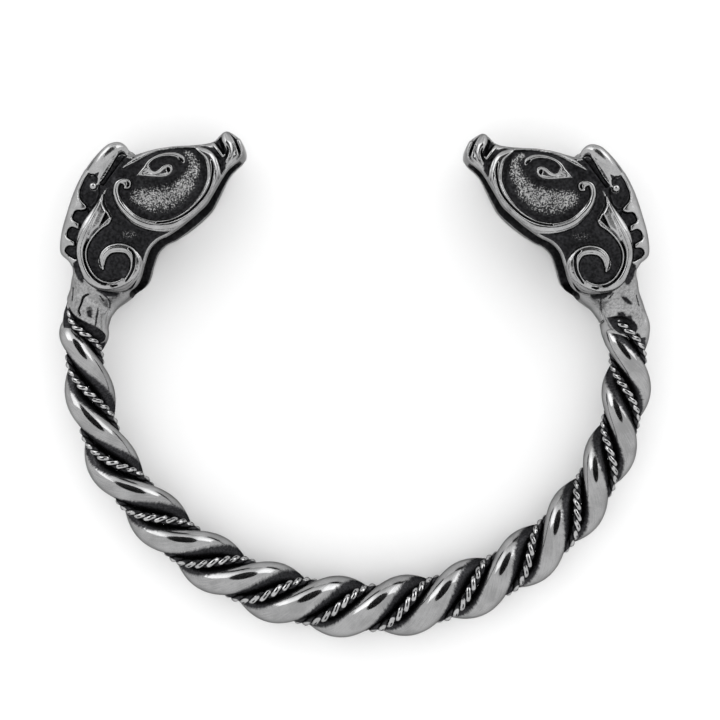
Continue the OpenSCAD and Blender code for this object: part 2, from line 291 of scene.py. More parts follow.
class Plan:
    """The side of a head as heights over its own plane, in millimetres. The origin is the middle of the
    cheek, +X points to the nose and +Y to the ear. polish is 1 where the steel is bright. On
    the heads it holds only polish and oxide."""

    LOW, HIGH = (-17.0, -18.5), (11.5, 10.0)
    # How far round its own line or outline a band or groove, and a leaf, may change the plane
    LINE_REACH, LEAF_REACH = 1.2, 0.3
    # Steps of the smooth curve between two rows of a leaf's outline and of a groove
    LEAF_STEPS, GROOVE_STEPS = 5, 6
    # How far a leaf's foot lies outside its outline
    LEAF_FOOT = 0.02

    def __init__(self, step):
        self.step = step
        counts = [int(round((high - low) / step)) + 1 for low, high in zip(self.LOW, self.HIGH)]
        axes = [low + step * np.arange(n) for low, n in zip(self.LOW, counts)]
        self.x, self.y = np.meshgrid(*axes, indexing="ij")
        self.relief, self.polish, self.grain = (np.zeros(self.x.shape) for _ in range(3))

    def twin(self):
        """A plan of its own with the same fields."""
        twin = Plan(self.step)
        twin.relief, twin.polish, twin.grain = self.relief.copy(), self.polish.copy(), self.grain.copy()
        return twin

    def window(self, rows, reach):
        """The part of the plane that lies round those rows."""
        low = np.floor((rows[:, :2].min(0) - reach - self.LOW) / self.step).astype(int)
        high = np.ceil((rows[:, :2].max(0) + reach - self.LOW) / self.step).astype(int) + 1
        low, high = np.maximum(low, 0), np.minimum(high, self.x.shape)
        return slice(low[0], high[0]), slice(low[1], high[1])

    def raise_to(self, at, inward, height, polish):
        """Raises the plane to a height where inward is over 0, and leaves the sunk fields round it alone."""
        raised = np.maximum(self.relief[at], height)
        self.relief[at] = np.where(inward > 0, raised, self.relief[at])
        self.polish[at] = np.maximum(self.polish[at], polish)

    def band(self, rows, rise, flat=2.6, bright=1.0):
        """A raised band along a table's curve. Columns: x, y, width. A larger flat gives a flatter top."""
        rows = smooth(rows)
        at = self.window(rows, self.LINE_REACH)
        distance, width = near_line(self.x[at], self.y[at], rows)
        inward = np.clip(1 - (2 * distance / width) ** flat, 0.0, 1.0)
        self.raise_to(at, inward, rise * inward ** 0.55, bright * step_up(0.02, 0.3, inward))

    def leaf(self, corners, rise, dish=0.0, shoulder=0.2):
        """A raised shape inside a closed outline. It is rounded over a shoulder, and its middle is sunk by
        the depth of a dish."""
        foot = self.LEAF_FOOT
        outline = smooth(list(corners) + [corners[0]], self.LEAF_STEPS)
        at = self.window(outline, self.LEAF_REACH)
        depth = -signed_distance(self.x[at], self.y[at], outline)
        height = rise * step_up(-foot, shoulder, depth) ** 0.6 - dish * step_up(0.15, 0.5, depth)
        self.raise_to(at, depth + foot, height, step_up(-foot, 0.08, depth))

    def groove(self, rows, depth, shade=1.0):
        """A cut along a table's curve, darkened inside. Columns: x, y, width."""
        rows = smooth(rows, self.GROOVE_STEPS)
        at = self.window(rows, self.LINE_REACH)
        distance, width = near_line(self.x[at], self.y[at], rows)
        inward = np.clip(1 - (2 * distance / width) ** 2, 0.0, 1.0)
        self.relief[at] -= depth * inward ** 0.7
        self.polish[at] *= 1 - shade * step_up(0.0, 0.4, inward)

    def pit(self, corners, depth, soft=0.15, shade=1.0):
        """A sunk field inside a closed outline, with a soft edge."""
        outline = np.array(list(corners) + [corners[0]], float)
        at = self.window(outline, soft)
        inward = step_up(-soft, soft, -signed_distance(self.x[at], self.y[at], outline))
        self.relief[at] -= depth * inward
        self.polish[at] *= 1 - shade * inward


def beside(rows, share_left, width):
    """A line beside the middle of a band, at a share of the band's width towards the left of its course."""
    rows = smooth(rows, 3)
    run = unit(np.gradient(rows[:, :2], axis=0))
    left = np.stack([-run[:, 1], run[:, 0]], -1)
    return [(x, y, width) for x, y in rows[:, :2] + left * rows[:, 2:] * share_left]


def near_line(x, y, rows):
    """Distance to a line of rows, and the rows' third column at its nearest place."""
    best, value = np.full(x.shape, np.inf), np.zeros(x.shape)
    for a, b in zip(rows[:-1], rows[1:]):
        run = b - a
        t = np.clip(((x - a[0]) * run[0] + (y - a[1]) * run[1]) / (run[0] ** 2 + run[1] ** 2), 0.0, 1.0)
        distance = (x - a[0] - t * run[0]) ** 2 + (y - a[1] - t * run[1]) ** 2
        nearer = distance < best
        best = np.where(nearer, distance, best)
        value = np.where(nearer, a[2] + t * run[2], value) if len(a) > 2 else value
    return np.sqrt(best), value


def signed_distance(x, y, outline):
    """Distance to a closed outline, negative inside it."""
    distance, _ = near_line(x, y, outline)
    inside = np.zeros(x.shape, bool)
    for a, b in zip(outline[:-1], outline[1:]):
        if a[1] != b[1]:
            crosses = (a[1] > y) != (b[1] > y)
            inside ^= crosses & (x < (b[0] - a[0]) * (y - a[1]) / (b[1] - a[1]) + a[0])
    return np.where(inside, -distance, distance)


def near_tube(points, centres, radii):
    """Distance to a tube of changing radius, negative inside it, and the distance to its centre line."""
    best, middle = np.full(points.shape[:-1], np.inf), np.full(points.shape[:-1], np.inf)
    for a, b, ra, rb in zip(centres[:-1], centres[1:], radii[:-1], radii[1:]):
        run = b - a
        t = np.clip((points - a) @ run / (run @ run), 0.0, 1.0)
        distance = np.linalg.norm(points - a - t[..., None] * run, axis=-1)
        best = np.minimum(best, distance - (ra + t * (rb - ra)))
        middle = np.minimum(middle, distance)
    return best, middle


def joined(a, b, blend):
    """The smaller of two distances, with a fillet where they meet."""
    h = np.clip(0.5 + 0.5 * (b - a) / blend, 0.0, 1.0)
    return b + (a - b) * h - blend * h * (1 - h)


def without(a, b, blend):
    """Distance to what is left of a when b is cut out of it."""
    return -joined(-a, b, blend)


def rounded_slab(side, face, radius):
    """Distance to a slab from the distances to its side wall and to its face, with its edge rounded."""
    a, b = side + radius, face + radius
    return np.minimum(np.maximum(a, b), 0.0) + np.hypot(np.maximum(a, 0.0), np.maximum(b, 0.0)) - radius


# Each row is one slice across the head. Columns: crown x, crown y, underside x, underside y
HEAD_SECTIONS = (
    (-14.0, -16.0, -7.9, -16.1), (-13.4, -13.45, -5.4, -14.2), (-12.7, -10.95, -3.6, -12.1),
    (-13.1, -9.55, -2.9, -9.9), (-14.3, -8.25, -2.2, -7.9), (-14.2, -5.75, -1.1, -6.7),
    (-13.5, -3.05, 0.3, -6.0), (-12.3, 0.45, 1.9, -4.9), (-10.6, 3.55, 3.4, -3.7), (-8.5, 5.95, 4.5, -2.7),
    (-7.2, 6.55, 5.1, -2.1), (-5.7, 6.05, 5.5, -1.6), (-4.7, 4.95, 5.9, -0.9), (-2.2, 5.55, 6.5, 0.2),
    (1.0, 6.15, 7.2, 1.5), (4.0, 6.45, 8.0, 2.8), (5.9, 6.85, 8.8, 3.6), (6.9, 7.85, 9.7, 4.4),
    (7.8, 8.4, 10.2, 5.4), (9.1, 7.7, 9.9, 6.8),
)
# The hollow runs between these two rows' undersides
HOLLOW_FROM, HOLLOW_TO = 1, 17

# Raised bands. Columns: x, y, width
CHEEK_RING = ((-5.3, 0.25, 0.5), (-4.85, 0.3, 0.45), (-4.65, 0.8, 0.42), (-4.95, 1.2, 0.45),
              (-5.65, 1.25, 0.55), (-6.3, 0.85, 0.85), (-6.55, 0.1, 0.9), (-6.5, -0.7, 0.98),
              (-6.1, -1.75, 1.12), (-5.3, -2.8, 1.25), (-4.0, -3.95, 1.4), (-2.3, -4.65, 1.5),
              (-0.5, -4.8, 1.65), (1.3, -4.5, 1.7), (3.05, -3.5, 1.8), (4.45, -2.15, 1.8), (5.6, -0.4, 1.8),
              (6.25, 1.3, 1.85), (6.3, 2.7, 1.9), (5.95, 4.1, 1.75), (5.25, 5.0, 1.4), (4.1, 5.7, 0.75))
BROW = ((-5.7, 2.85, 0.15), (-4.5, 3.75, 0.65), (-3.2, 4.65, 0.8), (-1.9, 5.25, 0.6), (-0.6, 5.65, 0.45),
        (1.2, 5.95, 0.4), (3.2, 5.95, 0.35), (4.2, 5.85, 0.3))
UPPER_LID = ((-3.8, 1.85, 0.15), (-2.8, 2.8, 0.7), (-2.3, 3.6, 0.6), (-1.7, 4.15, 0.5), (-0.75, 4.6, 0.5),
             (0.4, 4.8, 0.6), (1.45, 4.65, 0.7), (2.15, 4.15, 0.8), (2.35, 3.75, 0.5))
NECK_SCROLL = ((-8.5, -1.7, 0.7), (-9.2, -3.3, 1.1), (-10.0, -4.8, 1.3), (-10.65, -5.9, 1.35),
               (-11.15, -7.2, 1.25), (-11.3, -8.3, 1.15), (-11.15, -9.5, 1.1), (-10.75, -10.65, 1.15),
               (-9.95, -11.85, 1.35), (-8.6, -12.75, 1.25), (-7.0, -12.95, 1.15), (-5.6, -12.6, 1.35),
               (-4.6, -11.75, 1.45), (-4.0, -10.7, 1.7), (-3.9, -9.6, 1.8), (-4.3, -8.6, 1.6),
               (-5.0, -7.95, 1.45), (-6.1, -7.7, 1.5), (-7.3, -7.9, 1.4), (-8.1, -8.6, 1.3),
               (-8.4, -9.45, 1.1), (-8.4, -10.1, 0.85), (-8.25, -10.5, 0.45))
# The scroll's soft flank under its leaf
NECK_FLANK = ((-8.3, -0.7, 0.4), (-8.8, -2.2, 1.2), (-9.6, -3.8, 1.8), (-10.45, -5.3, 1.9),
              (-11.1, -6.8, 1.5), (-11.3, -8.0, 1.2))
SCROLL_RIM = ((-7.15, -3.75, 0.25), (-7.5, -4.45, 0.3), (-8.4, -5.05, 0.3), (-9.3, -5.9, 0.3),
              (-9.9, -6.7, 0.3), (-10.3, -7.5, 0.3), (-10.5, -8.4, 0.3), (-10.4, -9.5, 0.3),
              (-9.95, -10.6, 0.3), (-9.4, -11.4, 0.3), (-8.6, -12.05, 0.3), (-7.8, -12.3, 0.3),
              (-7.0, -12.35, 0.28), (-6.2, -12.15, 0.25), (-5.6, -11.8, 0.2))
NOSE_ROLL = ((7.6, 7.8, 0.9), (7.85, 7.2, 1.3), (8.15, 6.5, 1.35), (8.4, 5.8, 1.15), (8.5, 5.2, 0.9),
             (8.3, 4.55, 0.65), (7.95, 3.85, 0.4))
NOSE_RIDGE = ((5.9, 6.6, 0.45), (6.1, 6.4, 0.58), (6.5, 5.95, 0.58), (6.95, 5.35, 0.5), (7.3, 4.85, 0.42),
              (7.5, 4.62, 0.32), (7.75, 4.9, 0.22))
EAR_FOLD = ((-6.35, 4.85, 0.18), (-7.0, 3.75, 0.17), (-8.0, 2.05, 0.16), (-8.65, 1.15, 0.14))
EAR_NUB = ((-5.1, 4.45, 0.4), (-4.65, 4.35, 0.35))
# The grained crescent on the cheek. Columns: x, y, width
GRAIN = ((-3.6, -0.9, 2.6), (-1.8, -1.3, 3.6), (0.2, -1.0, 3.8), (1.9, -0.1, 3.2), (2.9, 1.2, 2.6),
         (3.6, 2.6, 2.0), (3.6, 4.0, 1.6), (2.7, 5.0, 1.0))
# Closed outlines of raised shapes. Columns: x, y
LOWER_LID = ((-3.85, 1.85), (-2.9, 1.75), (-1.75, 1.65), (-0.5, 1.6), (0.4, 1.8), (0.95, 2.3), (1.05, 2.85),
             (0.85, 3.3), (0.3, 3.45), (-0.35, 3.2), (-0.85, 2.75), (-1.35, 2.5), (-1.85, 2.7), (-2.2, 3.2),
             (-2.85, 2.55))
SCROLL_LEAF = ((-7.3, 0.65), (-7.7, 0.25), (-8.0, -0.4), (-8.05, -1.2), (-7.95, -1.9), (-7.6, -2.6),
               (-7.2, -3.3), (-7.05, -3.85), (-7.4, -4.45), (-8.3, -5.0), (-9.2, -5.7), (-9.9, -6.6),
               (-10.4, -6.9), (-10.5, -6.0), (-10.2, -4.8), (-9.6, -3.4), (-9.0, -2.1), (-8.5, -0.8),
               (-7.9, 0.2))
# The mane's strip along the crown, with its three rungs
MANE = ((-10.1, 2.5), (-10.8, 1.6), (-11.2, 0.7), (-11.45, 0.0), (-11.5, -0.7), (-11.25, -1.3),
        (-10.65, -1.95), (-10.45, -2.45), (-11.0, -2.75), (-11.9, -2.75), (-12.3, -3.2), (-12.4, -3.7),
        (-12.15, -4.05), (-11.6, -4.35), (-11.45, -4.5), (-11.5, -5.15), (-11.75, -5.2), (-12.4, -4.95),
        (-12.95, -5.2), (-13.2, -5.8), (-13.05, -6.25), (-12.35, -6.7), (-12.1, -6.85), (-12.05, -7.35),
        (-12.3, -7.45), (-12.8, -7.4), (-13.3, -7.7), (-13.4, -8.2), (-13.1, -8.6), (-12.6, -8.9),
        (-12.1, -9.15), (-11.7, -9.3), (-12.2, -10.0), (-13.6, -9.9), (-14.7, -8.6), (-14.6, -6.5),
        (-14.2, -4.0), (-13.4, -1.5), (-12.4, 0.8), (-11.2, 2.9))
NOSE_SIDE = ((7.75, 3.3), (7.95, 4.3), (8.5, 5.2), (8.75, 5.9), (8.3, 6.9), (7.9, 7.9), (8.25, 8.0),
             (8.9, 7.05), (9.25, 6.2), (9.5, 5.4), (9.55, 4.8), (9.2, 4.3), (8.6, 3.6), (8.0, 2.85))
NOSE_TIP = ((8.5, 8.05), (8.85, 7.55), (9.25, 6.75), (9.65, 5.75), (9.85, 5.0), (10.0, 4.5), (10.6, 5.2),
            (10.4, 6.4), (9.9, 7.4), (9.0, 8.4))
NOSE_BRIDGE = ((4.4, 6.1), (5.3, 6.05), (5.9, 5.85), (6.3, 6.0), (6.2, 6.4), (6.9, 7.1), (6.6, 7.3),
               (5.6, 6.8), (4.4, 6.45))
CURL = ((-6.2, 1.2), (-6.0, 0.8), (-5.65, 0.6), (-5.4, 0.2), (-5.05, -0.02), (-4.7, 0.1), (-4.5, 0.5),
        (-4.6, 1.0), (-5.0, 1.3), (-5.6, 1.42))
# Cuts. Columns: x, y, width
CUTS = (
    ((-1.1, -4.45, 0.2), (0.55, -4.2, 0.26), (2.1, -3.6, 0.3), (3.4, -2.75, 0.32), (4.5, -1.65, 0.32),
     (5.35, -0.5, 0.32), (5.9, 0.7, 0.3), (6.15, 2.0, 0.3), (6.2, 3.1, 0.28), (6.03, 3.95, 0.18)),
    ((-10.2, -6.6, 0.12), (-10.6, -7.4, 0.18), (-10.75, -8.2, 0.2), (-10.65, -9.5, 0.22),
     (-10.2, -10.75, 0.26), (-9.45, -11.75, 0.3), (-8.6, -12.35, 0.32), (-7.9, -12.55, 0.22)),
    ((-7.3, -12.75, 0.2), (-6.9, -12.75, 0.3), (-6.4, -12.65, 0.15)),
    ((-4.75, -7.85, 0.3), (-4.2, -8.5, 0.4), (-4.1, -9.35, 0.42), (-4.25, -10.4, 0.42),
     (-4.7, -11.4, 0.36), (-5.25, -12.15, 0.2)),
    ((-8.7, -9.1, 0.12), (-8.7, -9.7, 0.2), (-8.45, -10.25, 0.16)),
    ((7.95, 6.1, 0.12), (8.15, 5.6, 0.3), (8.1, 5.2, 0.28), (7.9, 4.9, 0.15)),
    ((8.35, 7.95, 0.2), (8.8, 7.3, 0.24), (9.15, 6.6, 0.26), (9.5, 5.75, 0.32), (9.6, 5.3, 0.2)),
    ((6.95, 7.35, 0.2), (7.15, 6.7, 0.26), (7.4, 5.9, 0.28), (7.62, 5.2, 0.2)),
    ((6.25, 6.7, 0.12), (6.75, 6.15, 0.2), (7.2, 5.5, 0.22), (7.5, 5.05, 0.15)),
    ((-5.05, 1.0, 0.15), (-4.85, 0.75, 0.32), (-4.95, 0.45, 0.36)),
    ((0.35, 2.75, 0.45), (0.45, 2.5, 0.42)),
    ((1.75, 4.3, 0.2), (2.05, 4.05, 0.36), (2.25, 3.85, 0.3)),
)
# Shallow creases that are only a little darker. Columns: x, y, width
CREASES = (
    ((-9.05, -3.1, 0.2), (-9.9, -5.0, 0.22), (-10.2, -5.9, 0.2)),
    ((-6.0, -1.2, 0.25), (-5.2, -2.4, 0.25), (-3.9, -3.6, 0.25), (-2.2, -4.3, 0.25), (-1.1, -4.45, 0.25)),
    ((8.0, 3.9, 0.15), (8.6, 4.7, 0.2), (8.95, 5.5, 0.15)),
    ((8.35, 7.5, 0.15), (8.75, 6.6, 0.2), (9.0, 5.8, 0.2), (9.1, 5.0, 0.15)),
    ((-5.3, 5.0, 0.2), (-5.8, 3.9, 0.2), (-6.2, 3.1, 0.15)),
)
# Fine grooves that a file left beside the middle of a band. Columns: band, first row, row after the last,
# share of the band's width towards the left of its course, width
FILED = (
    (CHEEK_RING, 7, 20, -0.33, 0.14), (CHEEK_RING, 9, 19, -0.12, 0.12), (CHEEK_RING, 14, 21, 0.36, 0.1),
    (NECK_SCROLL, 9, 16, -0.34, 0.14), (NECK_SCROLL, 13, 23, -0.14, 0.16), (NECK_SCROLL, 15, 22, 0.24, 0.16),
    (NECK_SCROLL, 2, 9, -0.1, 0.12), (NOSE_ROLL, 2, 6, -0.3, 0.12), (UPPER_LID, 1, 8, 0.3, 0.1),
    (BROW, 1, 6, -0.15, 0.1),
)
# Sunk fields. Columns: x, y
EAR_RECESS = ((-10.3, 2.15), (-10.95, 1.2), (-11.45, 0.0), (-11.45, -0.8), (-11.1, -1.5), (-10.5, -2.2),
              (-9.9, -2.3), (-9.2, -1.6), (-8.8, -0.4), (-8.9, 0.9), (-9.1, 1.6), (-9.6, 2.1))
MANE_PIT = ((-10.4, -2.5), (-11.9, -2.6), (-12.5, -3.7), (-13.2, -5.8), (-13.5, -8.2), (-12.6, -9.0),
            (-11.8, -9.2), (-11.9, -8.0), (-11.6, -6.2), (-10.9, -4.6), (-10.2, -3.3))
EAR_SLOT = ((-5.15, 5.15), (-5.8, 5.3), (-6.5, 4.95), (-7.3, 3.6), (-8.2, 2.1), (-8.9, 0.9), (-8.3, 0.6),
            (-7.3, 2.0), (-6.2, 3.5), (-5.4, 4.7))
LEAF_PIT = ((-7.85, -3.05), (-7.5, -3.75), (-8.65, -4.8))
NOSE_PIT = ((6.2, 6.85), (6.95, 7.35), (7.2, 6.65), (7.45, 5.8), (7.65, 5.15), (7.5, 5.0), (7.05, 5.55),
            (6.55, 6.25))
# A dark stripe behind the nose. Columns: x, y, width
NOSE_STRIPE = ((4.5, 6.05, 0.12), (5.25, 5.85, 0.2), (5.95, 5.45, 0.22), (6.65, 4.85, 0.25),
               (7.2, 4.4, 0.4), (7.4, 3.9, 0.55), (7.35, 3.2, 0.4), (7.2, 2.4, 0.15))
# Rough dark places beside the scroll. Columns: x, y
SCROLL_ROUGH = (
    ((-12.4, -9.7), (-11.7, -9.3), (-11.3, -10.3), (-10.95, -11.3), (-11.1, -12.2), (-11.5, -11.9),
     (-12.1, -10.8)),
    ((-9.2, -13.3), (-8.0, -13.5), (-6.6, -13.7), (-7.0, -14.0), (-8.2, -13.95)),
)
# Marks of each neck, which the casting left different. Cuts and creases have the columns x, y, width, and
# rough places the columns x, y
NECK_MARKS = {
    1: {"cuts": (((-10.5, -13.8, 0.16), (-11.2, -14.2, 0.24), (-11.55, -14.9, 0.24), (-11.95, -15.9, 0.22),
                  (-11.7, -16.6, 0.14)),),
        "creases": (((-8.4, -13.9, 0.14), (-7.9, -14.6, 0.2), (-8.0, -15.6, 0.2), (-8.4, -16.6, 0.2),
                     (-8.6, -17.8, 0.2)),
                    ((-9.4, -15.6, 0.2), (-9.6, -16.8, 0.24), (-9.8, -18.0, 0.2)),
                    ((-9.0, -14.0, 0.16), (-8.6, -14.7, 0.16)), ((-12.6, -12.9, 0.2), (-12.9, -14.6, 0.2))),
        "rough": (((-10.8, -16.1), (-10.3, -15.9), (-10.3, -16.8), (-10.7, -16.7)),)},
    -1: {"cuts": (((-8.6, -17.0, 0.2), (-8.4, -17.25, 0.3)),),
         "creases": (((-7.8, -13.9, 0.16), (-8.0, -14.8, 0.2), (-8.2, -15.8, 0.18), (-8.6, -17.0, 0.16)),
                     ((-12.7, -13.6, 0.16), (-13.2, -15.0, 0.16)),
                     ((-9.4, -13.4, 0.16), (-8.9, -14.1, 0.16))),
         "rough": (((-10.6, -13.8), (-11.3, -14.0), (-12.1, -14.8), (-11.5, -14.7)),
                   ((-10.3, -16.0), (-11.0, -15.9), (-11.3, -16.6), (-12.0, -16.3), (-12.1, -17.0),
                    (-10.5, -17.2)))},
}
# The ear, a rolled hood with a lower ridge on each side. Columns: x, y, height of its middle, radius
EAR = ((-5.35, 5.0, 4.3, 0.4), (-5.75, 5.4, 4.4, 0.6), (-6.4, 5.6, 4.62, 0.86), (-7.1, 5.3, 4.95, 1.0),
       (-7.9, 4.55, 5.1, 1.0), (-8.75, 3.55, 5.05, 0.93), (-9.35, 2.9, 4.95, 0.78), (-9.8, 2.6, 4.9, 0.6))
EAR_RIDGE = ((-6.55, 5.0, 5.2, 0.3), (-7.3, 4.15, 5.25, 0.42), (-8.1, 3.0, 5.25, 0.42),
             (-8.7, 1.9, 5.25, 0.3), (-8.95, 1.0, 5.3, 0.16), (-9.2, 0.7, 5.25, 0.15),
             (-9.5, 0.5, 5.2, 0.3))
EAR_BEAD = (-9.65, 0.5, 5.25, 0.54)
# Spaces outside which the ears and the neck change nothing. Rows: limits of x, of y, and of the height from
# the middle
EAR_SPACE = ((-11.5, -4.4), (-0.5, 7.5), (3.8, 8.0))
NECK_SPACE = ((-16.8, -5.0), (-40.0, -11.0), (-1.0, 4.6))
# Lowest y and greatest height from the middle of the grid that a head's skin is drawn from
NECK_END, HALF_HEIGHT = -22.0, 7.0


def within(space, x, y, z):
    """For x, y and z each, which of their values lie between a space's limits."""
    return [(v > low) & (v < high) for v, (low, high) in zip((x, y, np.abs(z)), space)]


class HeadShape:
    """A head as a distance that is negative inside it, in the head's own millimetres."""

    MUZZLE_DIR, MUZZLE_FROM, MUZZLE_TAPER = (0.83, 0.56), 2.0, 0.25
    NECK_FROM, NECK_TAPER, NECK_HALF, NECK_POLISH = -11.8, 0.6, 3.3, 0.58
    # Radius of a face's edge along the crown, along the underside and on the neck
    CROWN_EDGE, UNDER_EDGE, NECK_EDGE = 2.1, 0.6, 3.0
    # How far the walls stand inside the drawn outline
    SHRINK = 0.03
    DOME_MIDDLE, DOME_AXES, DOME_LEAN, DOME_POWER = (0.1, 0.6), (4.9, 3.6), 22.0, 1.2
    # Radius of the hollow's inner corners, and the fillets at its rim, under the ears and round their beads
    HOLLOW_EDGE, RIM_FILLET, EAR_FILLET, BEAD_FILLET = 0.5, 0.12, 0.12, 0.1
    # Seed of the blasted grain, and its height before it is evened out
    GRAIN_SEED, GRAIN_HEIGHT = 5, 0.5

    def __init__(self, head):
        self.head = head
        self.cell = head.cell / MM
        plan = self.plan = Plan(self.cell / 2)
        self.draw_outline(plan)
        self.draw_relief(plan, head.relief / MM)
        # Over the plane: distance to the outline, height of the face, radius of its edge, distance to the
        # hollow's walls, and half the width between the hollow's rims
        self.fields = (self.side, self.plate + self.dome + plan.relief, self.edge, self.hollow,
                       self.plate - head.rim / MM)

    def draw_outline(self, plan):
        x, y = plan.x, plan.y
        rows = np.array(HEAD_SECTIONS)
        outline = smooth(np.vstack([rows[:, :2], rows[::-1, 2:]]), 6)
        self.side = signed_distance(x, y, np.vstack([outline, outline[:1]])) + self.SHRINK
        self.crown, _ = near_line(x, y, smooth(rows[:, :2], 3))
        self.under, _ = near_line(x, y, smooth(rows[:, 2:], 3))
        under_share = self.crown / (self.crown + self.under + 1e-6)
        along = x * self.MUZZLE_DIR[0] + y * self.MUZZLE_DIR[1]
        self.plate = np.maximum(self.NECK_HALF, self.head.plate / MM
                                - self.MUZZLE_TAPER * np.maximum(0, along - self.MUZZLE_FROM)
                                - self.NECK_TAPER * np.maximum(0, self.NECK_FROM - y))
        edge = self.CROWN_EDGE + (self.UNDER_EDGE - self.CROWN_EDGE) * step_up(0.3, 0.7, under_share)
        self.edge = edge + (self.NECK_EDGE - edge) * step_up(-11.5, -14.0, y)
        hollow_line = smooth(rows[HOLLOW_FROM:HOLLOW_TO + 1, 2:], 3)
        reach, _ = near_line(x, y, hollow_line)
        ends = np.minimum(*(np.hypot(x - end[0], y - end[1]) for end in hollow_line[[0, -1]]))
        depth = self.head.hollow / MM * step_up(0.0, 3.0, ends)
        # The hollow opens outwards along the underside only
        closed = (self.side < 0) | (self.under > self.crown) | (reach > ends - 0.001)
        self.hollow = np.where(closed, reach, -reach) - depth
        lean = math.radians(self.DOME_LEAN)
        dx, dy = x - self.DOME_MIDDLE[0], y - self.DOME_MIDDLE[1]
        u = (dx * math.cos(lean) + dy * math.sin(lean)) / self.DOME_AXES[0]
        v = (dy * math.cos(lean) - dx * math.sin(lean)) / self.DOME_AXES[1]
        self.dome = self.head.cheek / MM * np.clip(1 - u * u - v * v, 0.0, 1.0) ** self.DOME_POWER

    def draw_relief(self, plan, relief):
        x, y = plan.x, plan.y
        edge_light = step_up(-0.45, -0.25, self.side)
        top_edge = step_up(-0.5, -0.3, self.side) * step_up(0.5, 0.4, self.crown / (self.under + 0.01))
        plan.polish = np.maximum(edge_light * step_up(0.35, 0.2, self.under),
                                 top_edge * step_up(-11.4, -10.8, x))
        uneven = 0.3 * np.sin(1.9 * x + 0.7) + 0.2 * np.sin(4.3 * x - 1.1 * y)
        worn = self.NECK_POLISH * np.maximum(step_up(-11.1, -12.1, y + 0.25 * x + 2.9 + 0.6 * uneven),
                                             step_up(-9.6, -10.6, y) * step_up(-10.9, -11.5, x))
        plan.polish = np.maximum(plan.polish, worn)
        plan.pit(EAR_RECESS, 0.5, soft=0.3)
        plan.pit(MANE_PIT, 0.5, soft=0.3)
        plan.leaf(MANE, 0.3)
        plan.leaf(CURL, 0.8 * relief)
        plan.band(CHEEK_RING, relief, flat=2.3)
        plan.band(BROW, 0.6 * relief, flat=2.2)
        plan.band(UPPER_LID, 0.52 * relief, flat=2.2)
        plan.leaf(LOWER_LID, 0.5 * relief, dish=0.22)
        plan.band(NECK_FLANK, 0.75 * relief, flat=1.6, bright=0.8)
        plan.leaf(SCROLL_LEAF, relief, shoulder=0.6)
        plan.band(NECK_SCROLL, relief, flat=2.4)
        plan.band(SCROLL_RIM, relief)
        plan.band(NOSE_RIDGE, 0.55 * relief)
        plan.leaf(NOSE_SIDE, 0.3 * relief)
        plan.leaf(NOSE_BRIDGE, 0.2 * relief)
        plan.leaf(NOSE_TIP, 0.3 * relief)
        plan.band(NOSE_ROLL, 0.8 * relief, flat=2.2)
        plan.pit(EAR_SLOT, 0.5)
        plan.band(EAR_FOLD, 0.2)
        plan.band(EAR_NUB, 0.5 * relief)
        plan.pit(NOSE_PIT, 0.5, soft=0.08, shade=0.85)
        plan.pit(LEAF_PIT, 0.9, soft=0.1)
        plan.groove(NOSE_STRIPE, 0.15)
        for outline in SCROLL_ROUGH:
            plan.pit(outline, 0.08, soft=0.35)
        for rows in CUTS:
            plan.groove(rows, 0.45)
        for rows in CREASES:
            plan.groove(rows, 0.12, shade=0.3)
        for rows, first, end, share_left, width in FILED:
            plan.groove(beside(rows[first:end], share_left, width), 0.09, shade=0.5)
        away, width = near_line(x, y, smooth(GRAIN))
        crescent = step_up(0.62, 0.1, away / width)
        under_scroll = 0.35 * step_up(1.0, 0.3, np.hypot((x + 4.9 - 0.3 * (y + 5.9)) / 1.9, (y + 5.9) / 0.8))
        plan.grain = np.maximum(crescent, under_scroll)
        blasted = np.random.default_rng(self.GRAIN_SEED).random(x.shape)
        for axis in (0, 1):
            blasted = (np.roll(blasted, 1, axis) + blasted + np.roll(blasted, -1, axis)) / 3
        plan.relief += plan.grain * (blasted - 0.5) * self.GRAIN_HEIGHT

    def sample(self, field, x, y):
        """A field's values at points of the plane, between its rows and columns."""
        u = np.clip((x - Plan.LOW[0]) / self.plan.step, 0, field.shape[0] - 1.001)
        v = np.clip((y - Plan.LOW[1]) / self.plan.step, 0, field.shape[1] - 1.001)
        i, j = u.astype(int), v.astype(int)
        u, v = u - i, v - j
        return ((field[i, j] * (1 - u) + field[i + 1, j] * u) * (1 - v)
                + (field[i, j + 1] * (1 - u) + field[i + 1, j + 1] * u) * v)

    def sample_all(self, x, y):
        """All five fields at points of the plane."""
        return [self.sample(field, x, y) for field in self.fields]

    def body(self, fields, below, z):
        """Distance to a head without ears and neck, and distance to its hollow. below is how far a point
        lies under the lowest row of the fields."""
        side, top, edge, hollow, hollow_half = fields
        slab = rounded_slab(side + below, np.abs(z) - top, edge)
        trench = rounded_slab(hollow, np.abs(z) - hollow_half, self.HOLLOW_EDGE)
        return without(slab, trench, self.RIM_FILLET), trench

    def ears(self, points):
        """Distance to the two ears, which are each other's mirror image."""
        folded = points * (1.0, 1.0, 0.0) + np.abs(points) * (0.0, 0.0, 1.0)
        ear = smooth(EAR, 4)
        ridge = smooth(EAR_RIDGE, 4)
        roll, _ = near_tube(folded, ear[:, :3], ear[:, 3])
        fold, _ = near_tube(folded, ridge[:, :3], ridge[:, 3])
        bead = np.linalg.norm(folded - EAR_BEAD[:3], axis=-1) - EAR_BEAD[3]
        return np.minimum(roll, joined(fold, bead, self.BEAD_FILLET))


